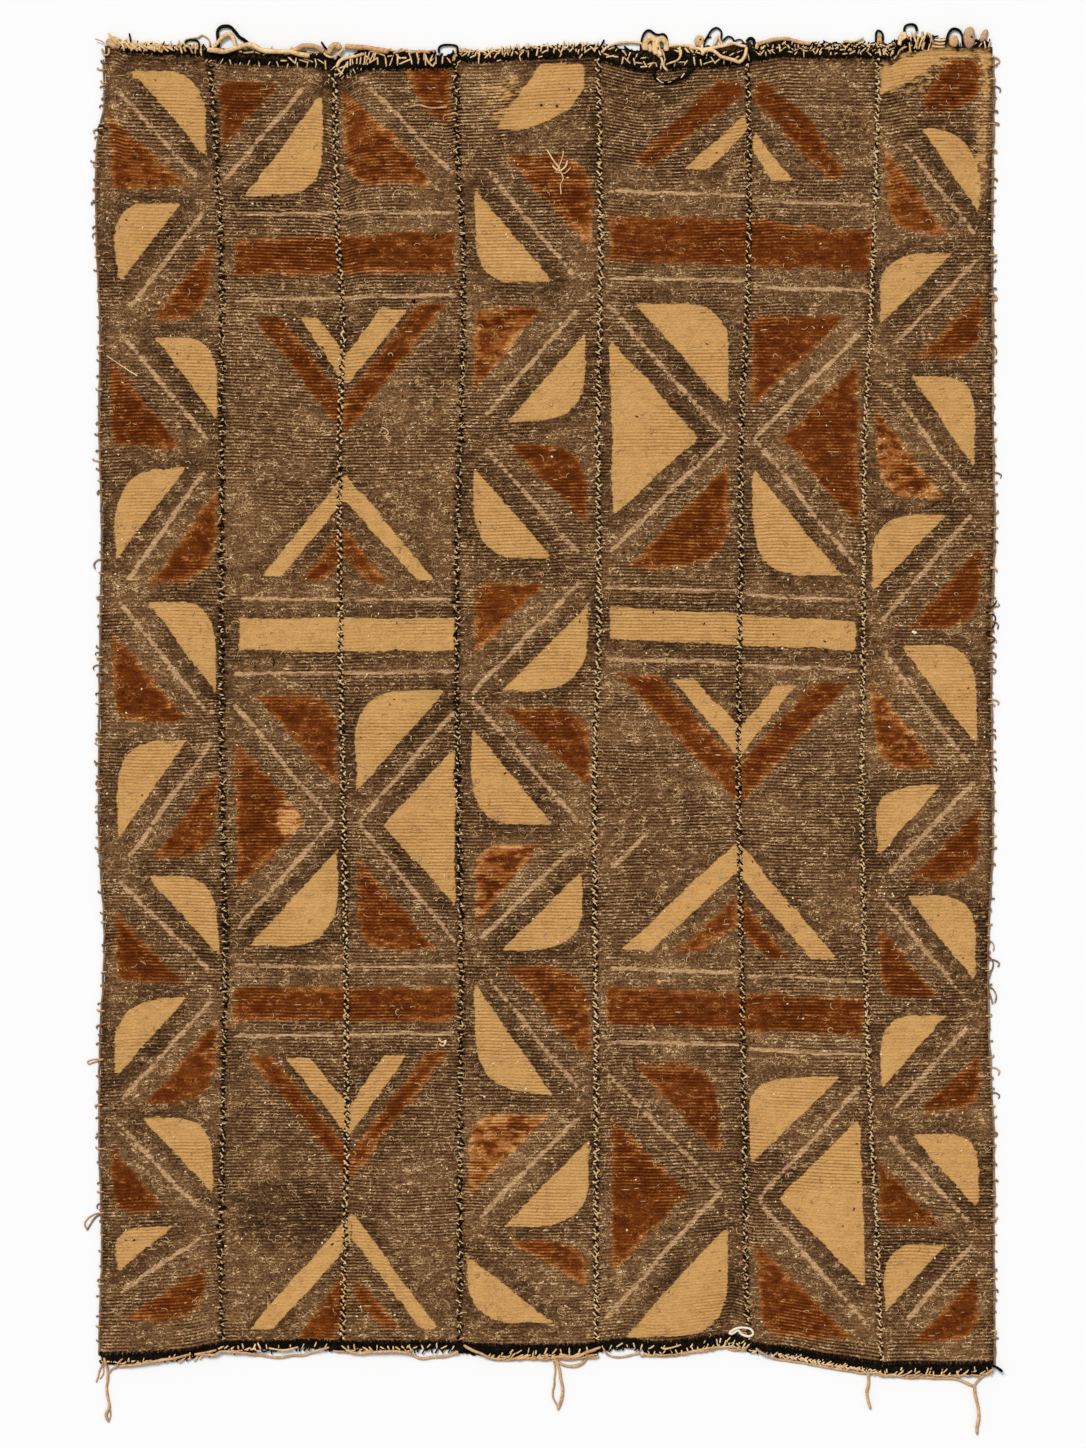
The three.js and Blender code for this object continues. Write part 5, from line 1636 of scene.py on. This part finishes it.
# Longer threads that stand off the sides
leftThreads = rowsOf(("yarn", "wide", "route"), [
    ("hem", 1.8, [(-507, -552), (-516, -557), (-522, -565), (-526, -572)]),
    ("tan", 1.6, [(-507, -376), (-515, -379), (-524, -382)]),
    ("umber", 2.2, [(-503, 688), (-511, 693), (-514, 687), (-508, 684)]),
])
rightThreads = rowsOf(("yarn", "wide", "route"), [
    ("umber", 1.8, [(503, 141), (511, 142), (516, 149)]),
    ("black", 1.8, [(503, 136), (513, 132), (514, 126), (511, 118), (504, 112)]),
    ("umber", 1.8, [(503, 110), (513, 106), (512, 102), (504, 99)]),
    ("hem", 1.7, [(503, -254), (510, -262), (512, -269), (507, -283), (505, -293), (508, -302),
                  (511, -313)]),
])


def makeSelvedge(node, edge, side, low, curls, threads, seed):
    heap = YarnHeap()
    uneven = np.random.default_rng(seed)
    levels = np.arange(low, selvedge["top"], selvedge["step"])
    x = edgeAt(edge, levels) + side * selvedge["fromEdge"] + uneven.uniform(-0.5, 0.5, len(levels))
    bundle = [(float(a), float(b)) for a, b in zip(x, levels)]
    points, faces = yarnTube(bundle, selvedge["wide"], selvedge["high"], step=3, seed=seed)
    # lies on the floor beside the strip
    heap.add("hem", [(a, b, max(0.0, c - float(surfaceAt(a, b)))) for a, b, c in points], faces)
    fringe = np.arange(selvedge["fringeLow"], selvedge["fringeTop"], selvedge["fringeStep"])
    fringe = fringe + uneven.uniform(-5, 5, len(fringe))
    extra = []
    for place in fringe:
        extra.append({"y": place, "reach": uneven.uniform(2.5, 5.5), "lean": uneven.uniform(-3, 3)})
    for number, curl in enumerate(curls + extra):
        root = float(edgeAt(edge, curl["y"]))
        turn = 1 if curl["lean"] > 0 else -1
        reach = selvedge["curlOut"] * curl["reach"]
        route = [
            (root - side * 2.5, curl["y"]), (root + side * reach * 0.55, curl["y"] + 0.15 * curl["lean"]),
            (root + side * (reach - 0.4), curl["y"] + 0.6 * curl["lean"]),
            (root + side * (reach * 0.85), curl["y"] + curl["lean"] + turn * 0.8),
        ]
        thick = selvedge["curlThick"] * uneven.uniform(0.75, 1.2)
        points, faces = yarnTube(route, thick, sides=5, step=1.6, seed=seed + number)
        heap.add("hem" if number % 3 else "tan", points, faces)
    heap.addRows(threads, 6, 1.6, seed + 90)
    piece = heap.makePiece(node + "_ends")
    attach(piece, "root")
    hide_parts(node)


def makeLooseThreads():
    # threads and knots that lie on the face of the cloth
    threads = rowsOf(("yarn", "wide", "rise", "route"), [
        ("cream", 2.0, 0.4, [(1, 665), (6, 656), (12, 648), (16, 644)]),
        ("cream", 2.2, 0.8, [(7, 647), (14, 641), (22, 646), (24, 653)]),
        ("cream", 1.5, 0.6, [(14, 644), (19, 633), (16, 624), (17, 614)]),
        ("tan", 1.5, 0.9, [(9, 640), (20, 638), (28, 645)]),
        ("cream", 1.3, 1.2, [(20, 664), (17, 652), (11, 640)]),
        ("cream", 1.7, 0.9, [(-504, 429), (-493, 422), (-481, 414), (-468, 406)]),
        ("tan", 2.2, 1.0, [(-157, 714), (-146, 716), (-132, 713), (-114, 714)]),
        ("cream", 1.5, 1.0, [(-189, 347), (-184, 345), (-181, 341), (-184, 337), (-181, 333), (-178, 330)]),
        ("black", 2.8, 0.9, [(-154, 492), (-151, 491)]),
        ("black", 2.0, 0.9, [(-151, 494), (-152, 489)]),
        ("black", 1.6, 0.0, [(-314, 84), (-312, 78), (-313, 74)]),
        ("black", 2.6, 0.0, [(-7, 717), (-5, 716)]),
        ("black", 2.6, 0.0, [(11, 716), (13, 715)]),
        ("cream", 2.6, 0.6, [(-124, -352), (-120, -357), (-115, -355), (-118, -361), (-123, -359)]),
        ("white", 3.4, 0.2, [(419, 114), (421, 112), (424, 112)]),
    ])
    heap = YarnHeap()
    heap.addRows(threads, 6, 1.5, 900, sunk=0.3)
    piece = heap.makePiece("loose_threads")
    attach(piece, "root")


makeSelvedge("selvedge_left", 0, -1, -716, leftCurls, leftThreads, 500)
makeSelvedge("selvedge_right", 7, 1, -730, rightCurls, rightThreads, 700)
makeLooseThreads()
print("mud cloth: selvedges and loose threads")

# Nubs of unspun cotton and loose lengths of weft on the face

def scatterOn(tree, given):
    # points over the face, fewer where paint holds the fibre down
    spread = tree.nodes.new("GeometryNodeDistributePointsOnFaces")
    spread.distribute_method = "RANDOM"
    tree.links.new(given.outputs["Geometry"], spread.inputs["Mesh"])
    tree.links.new(given.outputs["Seed"], spread.inputs["Seed"])
    loose = tree.nodes.new("GeometryNodeInputNamedAttribute")
    loose.data_type = "FLOAT"
    loose.inputs["Name"].default_value = "loose"
    thinned = calc(tree, "MULTIPLY", loose.outputs["Attribute"], given.outputs["Density"])
    tree.links.new(thinned, spread.inputs["Density"])
    return spread


def makeNubTree():
    tree, given = newTree("nubsOnCloth", {
        "Density": 700.0, "Long": 0.0022, "Wide": 0.0016, "High": 0.001, "Turn": 0.5,
    }, ["Seed"], "Cotton")
    spread = scatterOn(tree, given)
    ball = tree.nodes.new("GeometryNodeMeshIcoSphere")
    ball.inputs["Radius"].default_value = 0.5
    ball.inputs["Subdivisions"].default_value = 1
    size = vectorOf(tree, given.outputs["Long"], given.outputs["Wide"], given.outputs["High"])
    uneven = randomBetween(tree, given, (0.55, 0.65, 0.7), (1.7, 1.35, 1.2), 1)
    spin = tree.nodes.new("ShaderNodeVectorMath")
    spin.operation = "SCALE"
    tree.links.new(randomBetween(tree, given, (0, 0, -1), (0, 0, 1), 2), spin.inputs[0])
    tree.links.new(given.outputs["Turn"], spin.inputs["Scale"])
    placed = placedOn(tree, spread.outputs["Points"], ball.outputs["Mesh"], spin.outputs[0],
                      vectorCalc(tree, "MULTIPLY", size, uneven))
    return endTree(tree, given, placed, "Cotton")


# Stretch of the chart on which fibre lies
fibreField = {"x": (-508, 508), "y": (-696, 752)}


def clothFace(level):
    # a coarse copy of the painted face, for things that lie on it
    x, y = np.meshgrid(np.linspace(*fibreField["x"], 121), np.linspace(*fibreField["y"], 161))
    gathered = np.zeros(x.shape)
    for strip in range(7):
        inside = (x >= edgeAt(strip, y)) & (x < edgeAt(strip + 1, y))
        gathered = np.where(inside, puckerAt(x, y, strip), gathered)
    z = liftAt(x, y) + clothSizes["thick"] + level + 0.7 * gathered
    points = np.column_stack([x.ravel(), y.ravel(), z.ravel()])
    mesh = bpy.data.meshes.new("clothFace")
    mesh.from_pydata(toMetres(points).tolist(), [], gridQuads(np.arange(x.size).reshape(x.shape)))
    # paint holds most of the fibre down
    values = paintAt(x.ravel(), y.ravel(), np.zeros(x.size), 0)
    painted = np.maximum(softStep(-4, 2, values["tanPaint"]), softStep(-4, 2, values["rustPaint"]))
    loose = mesh.attributes.new("loose", "FLOAT", "POINT")
    loose.data.foreach_set("value", (1 - 0.72 * painted).astype(np.float32))
    return mesh


def makeCurlTree():
    # short arcs of loose fibre lying on the face
    tree, given = newTree("curlsOnCloth", {
        "Density": 700.0, "Radius": 0.002, "Sweep": 3.0, "Thick": 0.0009, "Tilt": 0.2,
    }, ["Steps", "Seed"], "Cotton")
    spread = scatterOn(tree, given)
    arc = tree.nodes.new("GeometryNodeCurveArc")
    arc.mode = "RADIUS"
    for name, socket in (("Steps", "Resolution"), ("Radius", "Radius"), ("Sweep", "Sweep Angle")):
        tree.links.new(given.outputs[name], arc.inputs[socket])
    fibre = sweptYarn(tree, arc.outputs["Curve"], given.outputs["Thick"], 3)
    tilt = randomBetween(tree, given, (-1, -1, 0), (1, 1, 0), 2)
    spin = randomBetween(tree, given, (0, 0, -3.14), (0, 0, 3.14), 3)
    tipped = vectorCalc(tree, "MULTIPLY_ADD", tilt, given.outputs["Tilt"], spin)
    uneven = randomBetween(tree, given, (0.6, 0.5, 0.9), (1.5, 1.3, 1.1), 1)
    placed = placedOn(tree, spread.outputs["Points"], fibre, tipped, uneven)
    return endTree(tree, given, placed, "Cotton")


# Loose fibre: how many to a square metre, radius, sweep in degrees, thickness, tilt, points along it
curlKinds = rowsOf(("name", "density", "radius", "sweep", "thick", "tilt", "steps", "yarn"), [
    ("hooks", 1250, 2.3, 200, 1.1, 0.06, 6, "cotton"), ("flecks", 1500, 5.2, 50, 1.1, 0.03, 4, "cotton"),
    ("rings", 420, 2.2, 310, 1.05, 0.05, 8, "cotton"), ("waves", 800, 4.0, 100, 1.1, 0.05, 5, "cotton"),
    ("specks", 520, 2.2, 70, 1.5, 0.03, 4, "dark"),
])
curlTree = makeCurlTree()
curls = []
for number, kind in enumerate(curlKinds):
    curls.append(runTree(curlTree, kind["name"], clothFace(0.75), {
        "Density": float(kind["density"]), "Radius": kind["radius"] * mm,
        "Sweep": math.radians(kind["sweep"]), "Thick": kind["thick"] * mm, "Tilt": kind["tilt"],
        "Steps": kind["steps"], "Seed": 40 + number,
        "Cotton": umberYarn if kind["yarn"] == "dark" else fluffYarn,
    }))
curlPiece = joinPieces("loose_fibres", curls)
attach(curlPiece, "root")
print("mud cloth: loose fibres, faces", len(curlPiece.data.polygons))

nubTree = makeNubTree()
nubs = runTree(nubTree, "roundNubs", clothFace(0.65), {
    "Density": 560.0, "Long": 2.3 * mm, "Wide": 1.9 * mm, "High": 1.4 * mm, "Turn": 1.5, "Seed": 5,
    "Cotton": nubYarn,
})
floats = runTree(nubTree, "weftFloats", clothFace(0.5), {
    "Density": 1100.0, "Long": 8.5 * mm, "Wide": 1.25 * mm, "High": 0.9 * mm, "Turn": 0.08, "Seed": 9,
    "Cotton": fluffYarn,
})
nubPiece = joinPieces("cotton_nubs", [nubs, floats])
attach(nubPiece, "root")
print("mud cloth: nubs scattered, faces", len(nubPiece.data.polygons))

# Floor
floorMesh = bpy.data.meshes.new("floor")
floorMesh.from_pydata([(-6, -6, 0), (6, -6, 0), (6, 6, 0), (-6, 6, 0)], [], [(0, 1, 2, 3)])
floorFinish, _, floorShader = newFinish("paleFloor", 0.9)
floorShader.inputs["Base Color"].default_value = (0.94, 0.94, 0.94, 1)
floor = addPiece("floor", floorMesh, [floorFinish])
floor.location.z = -0.0004
